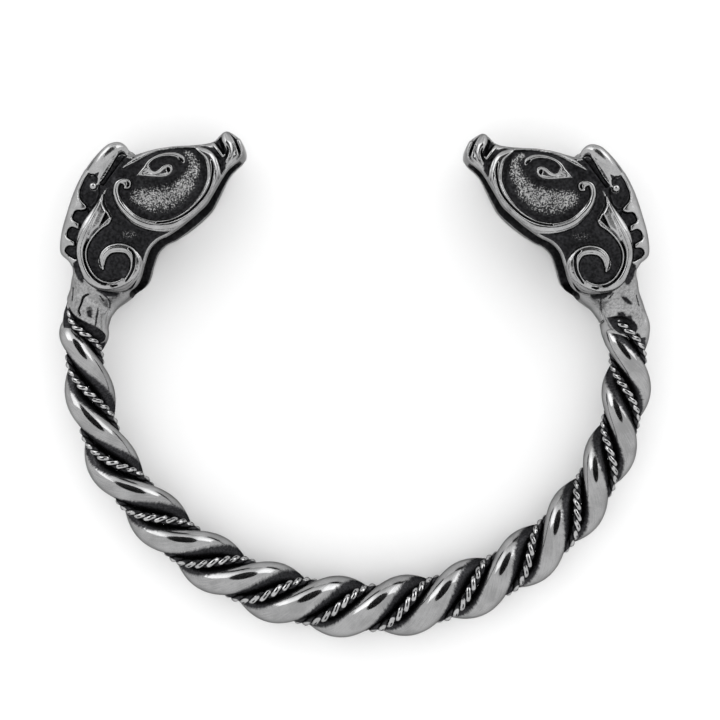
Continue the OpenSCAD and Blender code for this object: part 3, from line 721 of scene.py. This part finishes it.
class Neck:
    """The end of the rope in a head's own millimetres: its two strands, the sleeve that grips them and the
    grooves that run out on it. Places on it count from the rope's end, negative towards the head."""

    # How far the gripped end is pressed towards the underside
    INWARD = (0.4, 0.0, 0.0)
    FROM, TO, STEP = -7.0, 1.7, 0.25
    # How much thicker than the rope's the strands are, and what they lose on the rope and inside the head
    STRAND_MORE, STRAND_TO_ROPE, STRAND_TO_HEAD = 0.045, 0.15, 0.75
    # Radius of the sleeve, and what it loses likewise, as shares of the rope's thickness
    SLEEVE, SLEEVE_TO_ROPE, SLEEVE_TO_HEAD = 0.47, 0.26, 0.17
    # Steps that the sleeve is made from
    SLEEVE_PART = slice(4, -6)
    # Distance of the grooves from the rope's centre, and their radius, as shares of the rope's thickness
    GROOVE_ORBIT, GROOVE = 0.5, 0.2
    SLEEVE_FILLET, GROOVE_FILLET, STRAND_FILLET = 1.2, 0.25, 0.35

    def __init__(self, line, side, origin, groove_starts):
        at_left = side > 0
        per_mm = line.left_mm if at_left else -line.right_mm
        start = 0.0 if at_left else 1.0
        run = np.arange(self.FROM, self.TO, self.STEP)
        s = start + run * per_mm
        flip = np.array([side, 1.0, 1.0])

        def local(points):
            return (points - origin) * flip

        rope = line.rope
        thickness = line.thickness(s)
        grip = step_up(-0.5, -3.5, run)
        inward = grip[:, None] * np.array(self.INWARD)
        axis = local(line.point(s)) + inward
        self.strands = [local(line.helix(s, phase, rope.strand_orbit)) + inward for phase in (0, 180)]
        self.strand_radii = (rope.strand * thickness / 2 + self.STRAND_MORE
                             - self.STRAND_TO_ROPE * step_up(-0.5, 1.5, run)
                             - self.STRAND_TO_HEAD * step_up(-2.0, -5.5, run))
        self.grooves = []
        for phase, groove_start in zip((90, 270), groove_starts):
            cut = run > -groove_start - 0.3
            centres = local(line.helix(s, phase, self.GROOVE_ORBIT)) + inward
            radii = self.GROOVE * thickness * step_up(-groove_start - 0.4, -groove_start + 1.5, run)
            self.grooves.append((centres[cut], radii[cut]))
        sleeve_radii = thickness * (self.SLEEVE - self.SLEEVE_TO_ROPE * step_up(-2.2, -0.1, run)
                                    - self.SLEEVE_TO_HEAD * step_up(-2.5, -7.0, run))
        self.sleeve = axis[self.SLEEVE_PART], sleeve_radii[self.SLEEVE_PART]

    def join(self, points, head):
        """The head's distance with its neck grown into the rope."""
        sleeve, _ = near_tube(points, *self.sleeve)
        whole = joined(head, sleeve, self.SLEEVE_FILLET)
        for centres, radii in self.grooves:
            cut, _ = near_tube(points, centres, radii)
            whole = without(whole, cut, self.GROOVE_FILLET)
        for centres in self.strands:
            strand, _ = near_tube(points, centres, self.strand_radii)
            whole = joined(whole, strand, self.STRAND_FILLET)
        return whole

    def to_grooves(self, points):
        """Distance to the nearer groove."""
        return np.minimum(*(near_tube(points, centres, radii)[0] for centres, radii in self.grooves))


def skin(values, origin, step):
    """Points and four-sided faces of the surface where a grid of values is zero, one point a cell."""
    inside = values < 0
    corners = [(i, j, k) for i in (0, 1) for j in (0, 1) for k in (0, 1)]
    shape = np.array(values.shape) - 1
    count = np.zeros(shape, np.uint8)
    for i, j, k in corners:
        count += inside[i:shape[0] + i, j:shape[1] + j, k:shape[2] + k]
    mixed = (count > 0) & (count < 8)
    cells = np.argwhere(mixed)
    number = np.full(shape, -1, np.int64)
    number[mixed] = np.arange(len(cells))
    ends = {c: values[cells[:, 0] + c[0], cells[:, 1] + c[1], cells[:, 2] + c[2]] for c in corners}
    total, crossings = np.zeros((len(cells), 3)), np.zeros(len(cells))
    for c in corners:
        for axis in range(3):
            if c[axis] == 1:
                continue
            a, b = ends[c], ends[tuple(1 if n == axis else c[n] for n in range(3))]
            crossing = (a < 0) != (b < 0)
            place = np.tile(np.array(c, float), (len(cells), 1))
            place[:, axis] = np.where(crossing, a / np.where(crossing, a - b, 1.0), 0.0)
            total += place * crossing[:, None]
            crossings += crossing
    points = origin + (cells + total / crossings[:, None]) * step
    faces = []
    for axis in range(3):
        u, v = (axis + 1) % 3, (axis + 2) % 3
        low = [slice(None)] * 3
        high = [slice(None)] * 3
        low[axis], high[axis] = slice(0, -1), slice(1, None)
        edges = np.argwhere(inside[tuple(low)] != inside[tuple(high)])
        edges = edges[(edges[:, u] > 0) & (edges[:, v] > 0)
                      & (edges[:, u] < shape[u]) & (edges[:, v] < shape[v])]
        step_u, step_v = np.eye(3, dtype=int)[u], np.eye(3, dtype=int)[v]
        quad = np.stack([number[tuple((edges - back).T)]
                         for back in (step_u + step_v, step_v, 0 * step_u, step_u)], -1)
        solid_below = inside[tuple(edges.T)]
        faces.append(np.where(solid_below[:, None], quad, quad[:, ::-1]))
    return points, np.vstack(faces)


def settle(points, distance, step):
    """Points moved onto the surface where the distance is zero."""
    rounds, probe, least_slope = 2, 0.02, 0.25
    furthest = 0.6 * step
    for _ in range(rounds):
        value = distance(points)
        slope = np.stack([(distance(points + probe * axis) - value) / probe for axis in np.eye(3)], -1)
        steep = np.maximum(np.sum(slope * slope, -1, keepdims=True), least_slope)
        move = -value[:, None] * slope / steep
        reach = np.linalg.norm(move, axis=-1, keepdims=True)
        points = points + move * np.minimum(1.0, furthest / np.maximum(reach, 1e-9))
    return points


def neck_plan(plan, marks):
    """A head's plan with the marks of one neck."""
    plan = plan.twin()
    for rows in marks["creases"]:
        plan.groove(rows, 0.08, shade=0.45)
    for outline in marks["rough"]:
        plan.pit(outline, 0.03, soft=0.25, shade=0.8)
    for rows in marks["cuts"]:
        plan.groove(rows, 0.3)
    return plan


def build_head(shape, neck, plan):
    """Points, faces and marks of a head, in the head's own millimetres."""
    step = shape.cell
    every = (slice(None, None, 2),) * 2
    x, y = shape.plan.x[every][:, 0], shape.plan.y[every][0]
    more = np.arange(int(math.ceil((Plan.LOW[1] - NECK_END) / step)), 0, -1) * step
    y = np.concatenate([Plan.LOW[1] - more, y])
    z = np.arange(-HALF_HEIGHT, HALF_HEIGHT + step / 2, step)
    carved = np.maximum(0.0, -plan.relief) * step_up(-13.0, -13.8, plan.y)

    def on_grid(field):
        """A field at the grid's columns. Under the plane its lowest row goes on."""
        return np.pad(field[every], ((0, 0), (len(more), 0)), mode="edge")[..., None]

    def grid_part(space):
        """Indices and places of the grid's points in a space."""
        i, j, k = np.ix_(*(np.flatnonzero(part) for part in within(space, x, y, z)))
        return (i, j, k), np.stack(np.broadcast_arrays(x[i], y[j], z[k]), -1)

    below = np.maximum(Plan.LOW[1] - y, 0.0)[None, :, None]
    values, _ = shape.body([on_grid(field) for field in shape.fields], below, z[None, None, :])
    ear, places = grid_part(EAR_SPACE)
    values[ear] = joined(values[ear], shape.ears(places), shape.EAR_FILLET)
    low, places = grid_part(NECK_SPACE)
    values[low] = neck.join(places, values[low]) + on_grid(carved)[low[:2]][..., 0, :]
    points, faces = skin(values, np.array([x[0], y[0], z[0]]), step)

    def distance(p):
        px, py, pz = p.T
        value, _ = shape.body(shape.sample_all(px, py), np.maximum(Plan.LOW[1] - py, 0.0), pz)
        ear = np.all(within(EAR_SPACE, *p.T), axis=0)
        value[ear] = joined(value[ear], shape.ears(p[ear]), shape.EAR_FILLET)
        low = np.all(within(NECK_SPACE, *p.T), axis=0)
        value[low] = neck.join(p[low], value[low]) + shape.sample(carved, px[low], py[low])
        return value

    points = settle(points, distance, step)
    return points, faces, head_marks(shape, neck, plan, points)


def head_marks(shape, neck, plan, points):
    """How polished and how grained the steel is at the points of a head."""
    x, y, z = points.T
    fields = shape.sample_all(x, y)
    side, top, edge = fields[:3]
    _, trench = shape.body(fields, 0.0, z)
    polish = shape.sample(plan.polish, x, y)
    side_wall = step_up(0.35, 0.75, (top - np.abs(z)) / edge)
    polish = polish + (1 - polish) * side_wall
    polish *= step_up(0.02, 0.12, trench + 0.05 * step_up(-0.4, 0.2, side))
    near = np.all(within(EAR_SPACE, x, y, z), axis=0)
    ear = np.full(len(points), np.inf)
    ear[near] = shape.ears(points[near])
    polish = np.maximum(polish, step_up(0.12, 0.04, ear))
    low = np.all(within(NECK_SPACE, x, y, z), axis=0)
    polish[low] *= step_up(0.0, 0.22, neck.to_grooves(points[low]))
    return {"polish": polish, "grain": shape.sample(plan.grain, x, y) * (1 - side_wall)}


# Materials

class Value:
    """The output of a node, for use in expressions."""

    def __init__(self, graph, socket):
        self.graph, self.socket = graph, socket

    def maths(self, operation, *values):
        return self.graph.node("ShaderNodeMath", {"operation": operation}, dict(enumerate(values)))

    def __add__(self, other):
        return self.maths("ADD", self, other)

    def __mul__(self, other):
        return self.maths("MULTIPLY", self, other)

    def __sub__(self, other):
        return self.maths("SUBTRACT", self, other)

    def __rsub__(self, other):
        return self.maths("SUBTRACT", other, self)


class Graph:
    """A material's nodes."""

    def __init__(self, name):
        self.material = bpy.data.materials.new(name)
        self.material.use_nodes = True
        self.tree = self.material.node_tree
        self.tree.nodes.clear()

    def node(self, kind, settings, values, output=0):
        """Adds a node, sets its settings, then its sockets' values or links, and returns one output."""
        node = self.tree.nodes.new(kind)
        for name, setting in settings.items():
            setattr(node, name, setting)
        for name, value in values.items():
            if isinstance(value, Value):
                self.tree.links.new(value.socket, node.inputs[name])
            else:
                node.inputs[name].default_value = value
        return Value(self, node.outputs[output]) if node.outputs else None

    def mark(self, name):
        return self.node("ShaderNodeAttribute", {"attribute_name": name}, {}, "Fac")

    def place(self):
        return self.node("ShaderNodeTexCoord", {}, {}, "Object")

    def noise(self, at, size_mm, detail=2.0, roughness=0.5):
        """Noise from 0 to 1 whose features measure about size_mm."""
        return self.node("ShaderNodeTexNoise", {}, {"Vector": at, "Scale": 1 / (size_mm * MM),
                                                    "Detail": detail, "Roughness": roughness}, "Fac")

    def flat_noise(self, x, y):
        """Noise from 0 to 1 over two marks of the surface, for strokes and lines."""
        at = self.node("ShaderNodeCombineXYZ", {}, {"X": x, "Y": y})
        return self.node("ShaderNodeTexNoise", {}, {"Vector": at, "Scale": 1.0, "Detail": 3.0}, "Fac")

    def ramp(self, value, low, high, to_low=0.0, to_high=1.0):
        """A smooth step from one value to another."""
        return self.node("ShaderNodeMapRange", {"interpolation_type": "SMOOTHSTEP"},
                         {"Value": value, "From Min": low, "From Max": high,
                          "To Min": to_low, "To Max": to_high})

    def mix(self, factor, first, second):
        """A colour between two others."""
        return self.node("ShaderNodeMix", {"data_type": "RGBA"},
                         {0: factor, 6: first, 7: second}, 2)

    def bump(self, height, size_mm):
        return self.node("ShaderNodeBump", {}, {"Height": height, "Distance": size_mm * MM}, "Normal")

    def surface(self, values):
        """Closes the tree with a surface of those values, and returns the material."""
        shader = self.node("ShaderNodeBsdfPrincipled", {}, values)
        self.node("ShaderNodeOutputMaterial", {}, {"Surface": shader})
        return self.material

    def metal(self, colour, roughness, height, bump_mm):
        edge_shade = rgba((bpy.context.scene.torc_finish.edge_shade,) * 3)
        return self.surface({"Base Color": colour, "Metallic": 1.0, "Roughness": roughness,
                             "Normal": self.bump(height, bump_mm), "Specular Tint": edge_shade})


def rgba(colour, gain=1.0):
    return (colour[0] * gain, colour[1] * gain, colour[2] * gain, 1.0)


def polished_steel(name, marks_along, gain=1.0):
    """Steel that is bright where its polish mark is high and blackened where it is low. Besides
    polish and oxide, that mark holds painted highlight and shade on the strands' flanks and a painted
    reflection on the beads' crests. Strands have strokes across their length at the change, as a brush
    leaves them, and fine lines along it."""
    finish = bpy.context.scene.torc_finish
    graph = Graph(name)
    place = graph.place()
    cloud = graph.noise(place, 2.5, detail=4.0)
    grit = graph.noise(place, 0.12, detail=3.0)
    if marks_along:
        along, across = graph.mark("along"), graph.mark("across")
        strokes = graph.flat_noise(along * 3.4, across * 0.8)
        lines = graph.flat_noise(along * 0.45, across * 7.0)
        edge = graph.mark("polish") + (strokes - 0.5) * 0.9 + (grit - 0.5) * 0.5
        bright = graph.ramp(edge, 0.15, 0.8)
    else:
        lines = graph.noise(place, 0.4)
        bright = graph.ramp(graph.mark("polish") + (lines - 0.5) * 0.3, 0.35, 0.75)
    soot = graph.noise(place, 0.22, detail=3.0)
    dark = graph.mix(graph.ramp(soot, 0.35, 0.7), rgba(finish.oxide, 1.3), rgba(finish.oxide, 3.2))
    worn = cloud * 0.5 + lines * 0.3 + grit * 0.2
    steel = graph.mix(graph.ramp(worn, 0.38, 0.62), rgba(finish.bright, 0.80 * gain),
                      rgba(finish.bright, 1.12 * gain))
    colour = graph.mix(bright, dark, steel)
    rough = graph.ramp(bright, 0.0, 1.0, finish.oxide_rough, finish.bright_rough)
    rough = rough + (grit - 0.5) * 0.10 + (lines - 0.5) * 0.10
    height = grit * (1 - bright) * 0.9 + graph.noise(place, 0.9) * 0.5 + lines * 0.16 + grit * 0.05
    return graph.metal(colour, rough, height, 0.014)


def head_steel(name):
    """Satin on the high places and black in the low ones, with a grained field on the cheek whose flecks
    catch the light."""
    finish = bpy.context.scene.torc_finish
    graph = Graph(name)
    place = graph.place()
    cloud = graph.noise(place, 1.6, detail=4.0)
    grit = graph.noise(place, 0.12, detail=3.0)
    soot = graph.noise(place, 0.35, detail=4.0)
    edge = graph.mark("polish") + (soot - 0.5) * 0.35 + (grit - 0.5) * 0.2
    bright = graph.ramp(edge, 0.32, 0.68)
    grain = graph.mark("grain")
    flecks = graph.noise(place, 0.2, detail=3.0, roughness=0.6)
    fleck = graph.ramp(flecks + grain * 0.16 + cloud * 0.16, 0.675, 0.80) * graph.ramp(grain, 0.0, 0.5)
    dark = graph.mix(graph.ramp(soot, 0.3, 0.7), rgba(finish.oxide, 0.8), rgba(finish.oxide, 2.3))
    grained = graph.mix(fleck, dark, rgba(finish.fleck))
    worn = cloud * 0.6 + grit * 0.4
    steel = graph.mix(graph.ramp(worn, 0.36, 0.64), rgba(finish.satin, 0.82), rgba(finish.satin, 1.12))
    colour = graph.mix(bright, grained, steel)
    rough = graph.ramp(bright, 0.0, 1.0, finish.oxide_rough, finish.satin_rough) + (grit - 0.5) * 0.12
    height = (flecks * grain * 2.0 + grit * 0.7) * (1 - bright) + graph.noise(place, 0.7) * 0.6 + grit * 0.08
    return graph.metal(colour, rough, height, 0.02)


def floor_paper(name):
    stage = bpy.context.scene.torc_stage
    graph = Graph(name)
    fibre = graph.noise(graph.place(), 1.5, detail=4.0)
    colour = graph.mix(fibre, rgba(stage.floor, 0.985), rgba(stage.floor))
    return graph.surface({"Base Color": colour, "Roughness": 0.9, "Normal": graph.bump(fibre, 0.02)})


def black_card(name):
    graph = Graph(name)
    shade = graph.noise(graph.place(), 20.0)
    colour = graph.mix(shade, (0.004, 0.004, 0.004, 1.0), (0.008, 0.008, 0.008, 1.0))
    return graph.surface({"Base Color": colour, "Roughness": 1.0})


def softbox_cloth(name):
    """Cloth lit from behind, brightest near its upper edge and towards its two sides."""
    graph = Graph(name)
    place = graph.place()
    height = graph.node("ShaderNodeSeparateXYZ", {}, {"Vector": place}, "Z")
    across = graph.node("ShaderNodeSeparateXYZ", {}, {"Vector": place}, "X")
    glow = graph.ramp(height, -0.05, 0.30, 0.3, 1.0) * graph.ramp(across * across, 0.0, 0.09, 0.5, 1.0)
    black, white = (0.0, 0.0, 0.0, 1.0), (1.0, 1.0, 1.0, 1.0)
    light = graph.mix(glow, black, white)
    return graph.surface({"Base Color": black, "Roughness": 1.0, "Emission Color": light,
                          "Emission Strength": bpy.context.scene.torc_stage.key})


# Operators

class TORC_OT_strands(Operator):
    """Build the two polished strands of the rope"""
    bl_idname = "torc.strands"
    bl_label = "Strands"

    RINGS = 760
    SIDES = 44
    # How far the strands run into the necks, in millimetres
    TUCKED = 1.4
    # Painted highlight and shade: the flank that faces the left neck is painted bright further down, and the
    # other one less far, over the oxide of the grooves
    FURTHER, LESS_FAR = 0.15, 0.07
    # Steel is black below the first of these distances from the rope's centre and bright above the second.
    # Both are shares of half the rope's thickness
    BLACK_TO, BRIGHT_FROM = 0.79, 0.95
    # Swelling of the strands' inner sides towards each other, as a share of the rope's thickness. It keeps
    # the floor from showing between them
    INNER = 0.015

    def execute(self, context):
        rope = context.scene.torc_rope
        line = RopeLine(rope)
        material = polished_steel("polished_strand_steel", marks_along=True)
        s = np.linspace(-self.TUCKED * line.left_mm, 1 + self.TUCKED * line.right_mm, self.RINGS)
        thickness = line.thickness(s)[:, None]
        radii = rope.strand * line.thickness(s) / 2
        angle = 2 * math.pi * np.arange(self.SIDES) / self.SIDES
        signed = np.where(angle > math.pi, angle - 2 * math.pi, angle)
        swelling = self.INNER * thickness * step_up(0.3, 1.0, -np.cos(angle))
        for name, phase in (("strand_a", 0), ("strand_b", 180)):
            centres, _, radial, across = axes_along(line, s, phase, rope.strand_orbit)
            points, faces = sweep(centres, radial, across, radii, self.SIDES)
            points = points.reshape(self.RINGS, self.SIDES, 3) - swelling[..., None] * radial[:, None]
            height = np.linalg.norm(points - line.point(s)[:, None], axis=-1) / (thickness / 2)
            out = points - centres[:, None]
            towards = -np.sum(out * line.tangent(s)[:, None], -1) / radii[:, None]
            # Painted highlight on the flank towards the left neck, painted shade on the other flank
            height = height + towards * np.where(towards > 0, self.FURTHER, self.LESS_FAR)
            marks = {"polish": step_up(self.BLACK_TO, self.BRIGHT_FROM, height).ravel(),
                     "along": np.repeat(run_length(centres), self.SIDES),
                     "across": (radii[:, None] * signed[None]).ravel()}
            add_piece(name + "_polished", name, points.reshape(-1, 3), faces, marks,
                      material)
        return {"FINISHED"}


class TORC_OT_wires(Operator):
    """Build the two beaded wires, each of two plies twisted together"""
    bl_idname = "torc.wires"
    bl_label = "Beaded wires"

    RINGS = 1300
    SIDES = 12
    # How far the wires run into the left and the right neck, in millimetres
    TUCKED_LEFT, TUCKED_RIGHT = 4.4, 2.8
    # Radius of a ply as a share of the wire's
    PLY_SHARE = 0.6
    # The beads turn bright over the first of these heights. Over the second, on their crests, they get a
    # painted reflection of the dark card, which darkens them by the third value. Both heights are shares of
    # the wire's radius
    BRIGHT, CREST, CREST_SHADE = (0.4, 0.8), (0.92, 0.99), 0.85

    def execute(self, context):
        rope = context.scene.torc_rope
        line = RopeLine(rope)
        material = polished_steel("beaded_wire_steel", marks_along=False, gain=1.25)
        s = np.linspace(-self.TUCKED_LEFT * line.left_mm, 1 + self.TUCKED_RIGHT * line.right_mm, self.RINGS)
        half = rope.wire * line.thickness(s) / 2
        for name, phase in (("beaded_wire_a", 90), ("beaded_wire_b", 270)):
            centres, along, radial, across = axes_along(line, s, phase, rope.wire_orbit)
            run = run_length(centres)
            pitch = rope.ply_pitch * line.thickness(s[1:])
            turns = np.concatenate([[0.0], np.cumsum(np.diff(run) / pitch)])
            all_points, all_faces, top = [], [], []
            for ply in (0.0, 0.5):
                angle = -2 * math.pi * (turns + ply)
                offset = np.cos(angle)[:, None] * radial + np.sin(angle)[:, None] * across
                middle = centres + ((1 - self.PLY_SHARE) * half)[:, None] * offset
                heading = unit(np.gradient(middle, axis=0))
                first = unit(radial - heading * np.sum(radial * heading, -1, keepdims=True))
                points, faces = sweep(middle, first, np.cross(heading, first), self.PLY_SHARE * half,
                                      self.SIDES)
                before = sum(len(p) for p in all_points)
                all_faces += [[before + i for i in face] for face in faces]
                all_points.append(points)
                away = points.reshape(self.RINGS, self.SIDES, 3) - centres[:, None]
                top.append((np.sum(away * radial[:, None], -1) / half[:, None]).ravel())
            top = np.concatenate(top)
            # Painted reflection: the crest of each bead is darkened as if it mirrored the dark card
            crest = step_up(*self.CREST, top)
            marks = {"polish": step_up(*self.BRIGHT, top) * (1 - self.CREST_SHADE * crest)}
            add_piece(name + "_twisted", name, np.vstack(all_points), all_faces, marks,
                      material)
        return {"FINISHED"}


class TORC_OT_heads(Operator):
    """Build the two beast heads with their scrollwork"""
    bl_idname = "torc.heads"
    bl_label = "Beast heads"

    # Middle of each cheek in the ring's own plane
    CHEEKS = {1: (-25.2, 26.0), -1: (25.0, 25.7)}
    # How far up each neck the two grooves between the strands run
    GROOVE_STARTS = {1: (0.4, 4.2), -1: (2.1, 0.4)}
    # Share of a head's faces that is kept when they are thinned out. The flat places lose the most
    KEPT = 0.58

    def execute(self, context):
        line = RopeLine(context.scene.torc_rope)
        shape = HeadShape(context.scene.torc_head)
        material = head_steel("beast_head_steel")
        for name, side in (("beast_head_left", 1), ("beast_head_right", -1)):
            origin = np.array([*self.CHEEKS[side], 0.0])
            neck = Neck(line, side, origin, self.GROOVE_STARTS[side])
            points, faces, marks = build_head(shape, neck, neck_plan(shape.plan, NECK_MARKS[side]))
            points = points * (side, 1.0, 1.0) + origin
            if side < 0:
                faces = faces[:, ::-1]
            piece = add_piece(name + "_cast", name, points, faces.tolist(), marks, material)
            thinned = piece.modifiers.new("thinned", "DECIMATE")
            thinned.ratio = self.KEPT
        return {"FINISHED"}


class TORC_OT_stage(Operator):
    """Set the pale floor, the soft light and the camera"""
    bl_idname = "torc.stage"
    bl_label = "Stage"

    FLOOR_SIZE = 3.0
    # Middle of the picture in the ring's own plane, in millimetres
    VIEW_MIDDLE = (0.613, 3.4075)
    SENSOR = 36.0
    # The black card's radius and distance from the cuff in metres, its corners, and its tilt in degrees
    CARD_RADIUS, CARD_AWAY, CARD_CORNERS, CARD_TILT = 0.15, 0.3, 48, -29.0
    # The softbox's half width and distance from the cuff in metres, and its rows
    BOX_HALF, BOX_AWAY, BOX_ROWS = 0.7, 0.5, 12
    # Angle from upright to the softbox's upper edge, and from there to its lower edge, in degrees
    BOX_FROM, BOX_SWEEP = 34, 52

    def execute(self, context):
        self.add_floor(context)
        camera = self.add_camera(context)
        self.add_card(context, camera)
        self.add_softbox(context)
        self.add_light(context)
        return {"FINISHED"}

    def add_floor(self, context):
        half = self.FLOOR_SIZE / 2
        mesh = bpy.data.meshes.new("floor")
        mesh.from_pydata([(-half, -half, 0), (half, -half, 0), (half, half, 0), (-half, half, 0)], [],
                         [(0, 1, 2, 3)])
        mesh.materials.append(floor_paper("floor_paper"))
        floor = bpy.data.objects.new("floor", mesh)
        context.scene.collection.objects.link(floor)

    def add_camera(self, context):
        scene = context.scene
        stage = scene.torc_stage
        data = bpy.data.cameras.new("camera")
        data.sensor_width = self.SENSOR
        data.lens = self.SENSOR * stage.distance / stage.view_width
        data.clip_start, data.clip_end = 0.01, 20.0
        camera = bpy.data.objects.new("camera", data)
        rest = rest_matrix(scene.torc_rope, scene.torc_head)
        rest.translation = rest.translation * MM
        middle = (v * MM for v in self.VIEW_MIDDLE)
        camera.matrix_world = rest @ Matrix.Translation((*middle, stage.distance))
        scene.collection.objects.link(camera)
        scene.camera = camera
        return camera

    def add_card(self, context, camera):
        """A black card over the cuff, behind the camera and towards the opening. Only reflections see it."""
        angles = [2 * math.pi * i / self.CARD_CORNERS for i in range(self.CARD_CORNERS)]
        points = [(self.CARD_RADIUS * math.cos(a), self.CARD_RADIUS * math.sin(a), 0.0) for a in angles]
        tilt = Matrix.Rotation(math.radians(self.CARD_TILT), 4, "X")
        turned = camera.matrix_world.to_3x3().to_4x4() @ tilt
        place = turned @ Matrix.Translation((0.0, 0.0, self.CARD_AWAY))
        self.add_reflected("black_card", points, [range(len(points))], black_card("black_card"), place)

    def add_softbox(self, context):
        """A tall softbox behind the opening, brightest where it leans over the cuff, for reflections."""
        away = self.BOX_AWAY
        points = []
        for i in range(self.BOX_ROWS + 1):
            tilt = math.radians(self.BOX_FROM + self.BOX_SWEEP * i / self.BOX_ROWS)
            points += [(x, away * math.sin(tilt), away * math.cos(tilt))
                       for x in (-self.BOX_HALF, self.BOX_HALF)]
        faces = [(2 * i, 2 * i + 1, 2 * i + 3, 2 * i + 2) for i in range(self.BOX_ROWS)]
        self.add_reflected("softbox", points, faces, softbox_cloth("softbox_cloth"), Matrix())

    def add_reflected(self, name, points, faces, material, place):
        mesh = bpy.data.meshes.new(name)
        mesh.from_pydata(points, [], faces)
        mesh.materials.append(material)
        card = bpy.data.objects.new(name, mesh)
        card.matrix_world = place
        card.visible_camera = card.visible_shadow = card.visible_diffuse = False
        bpy.context.scene.collection.objects.link(card)

    def add_light(self, context):
        scene = context.scene
        world = bpy.data.worlds.new("white_tent")
        world.use_nodes = True
        background = world.node_tree.nodes["Background"]
        background.inputs["Color"].default_value = (1.0, 1.0, 1.0, 1.0)
        background.inputs["Strength"].default_value = scene.torc_stage.surround
        scene.world = world
        scene.view_settings.view_transform = "Standard"


class TORC_PT_panel(Panel):
    """Lists the sizes, the finishes and the steps that build the cuff"""
    bl_idname = "TORC_PT_panel"
    bl_label = "Torc Cuff"
    bl_space_type = "VIEW_3D"
    bl_region_type = "UI"
    bl_category = "Torc Cuff"

    def draw(self, context):
        layout = self.layout
        for operator in OPERATORS:
            layout.operator(operator.bl_idname)
        for group in (context.scene.torc_rope, context.scene.torc_head, context.scene.torc_finish,
                      context.scene.torc_stage):
            box = layout.box()
            for name in group.__annotations__:
                box.prop(group, name)


OPERATORS = (TORC_OT_heads, TORC_OT_strands, TORC_OT_wires, TORC_OT_stage)
GROUPS = {"torc_rope": TorcRope, "torc_head": TorcHead, "torc_finish": TorcFinish, "torc_stage": TorcStage}


def register():
    for group in (*GROUPS.values(), *OPERATORS, TORC_PT_panel):
        bpy.utils.register_class(group)
    for name, group in GROUPS.items():
        setattr(bpy.types.Scene, name, PointerProperty(type=group))


def unregister():
    for name in GROUPS:
        delattr(bpy.types.Scene, name)
    for group in reversed((*GROUPS.values(), *OPERATORS, TORC_PT_panel)):
        bpy.utils.unregister_class(group)


def main():
    register()
    bpy.ops.torc.heads()
    bpy.ops.torc.strands()
    bpy.ops.torc.wires()
    bpy.ops.torc.stage()


if __name__ == "__main__":
    main()
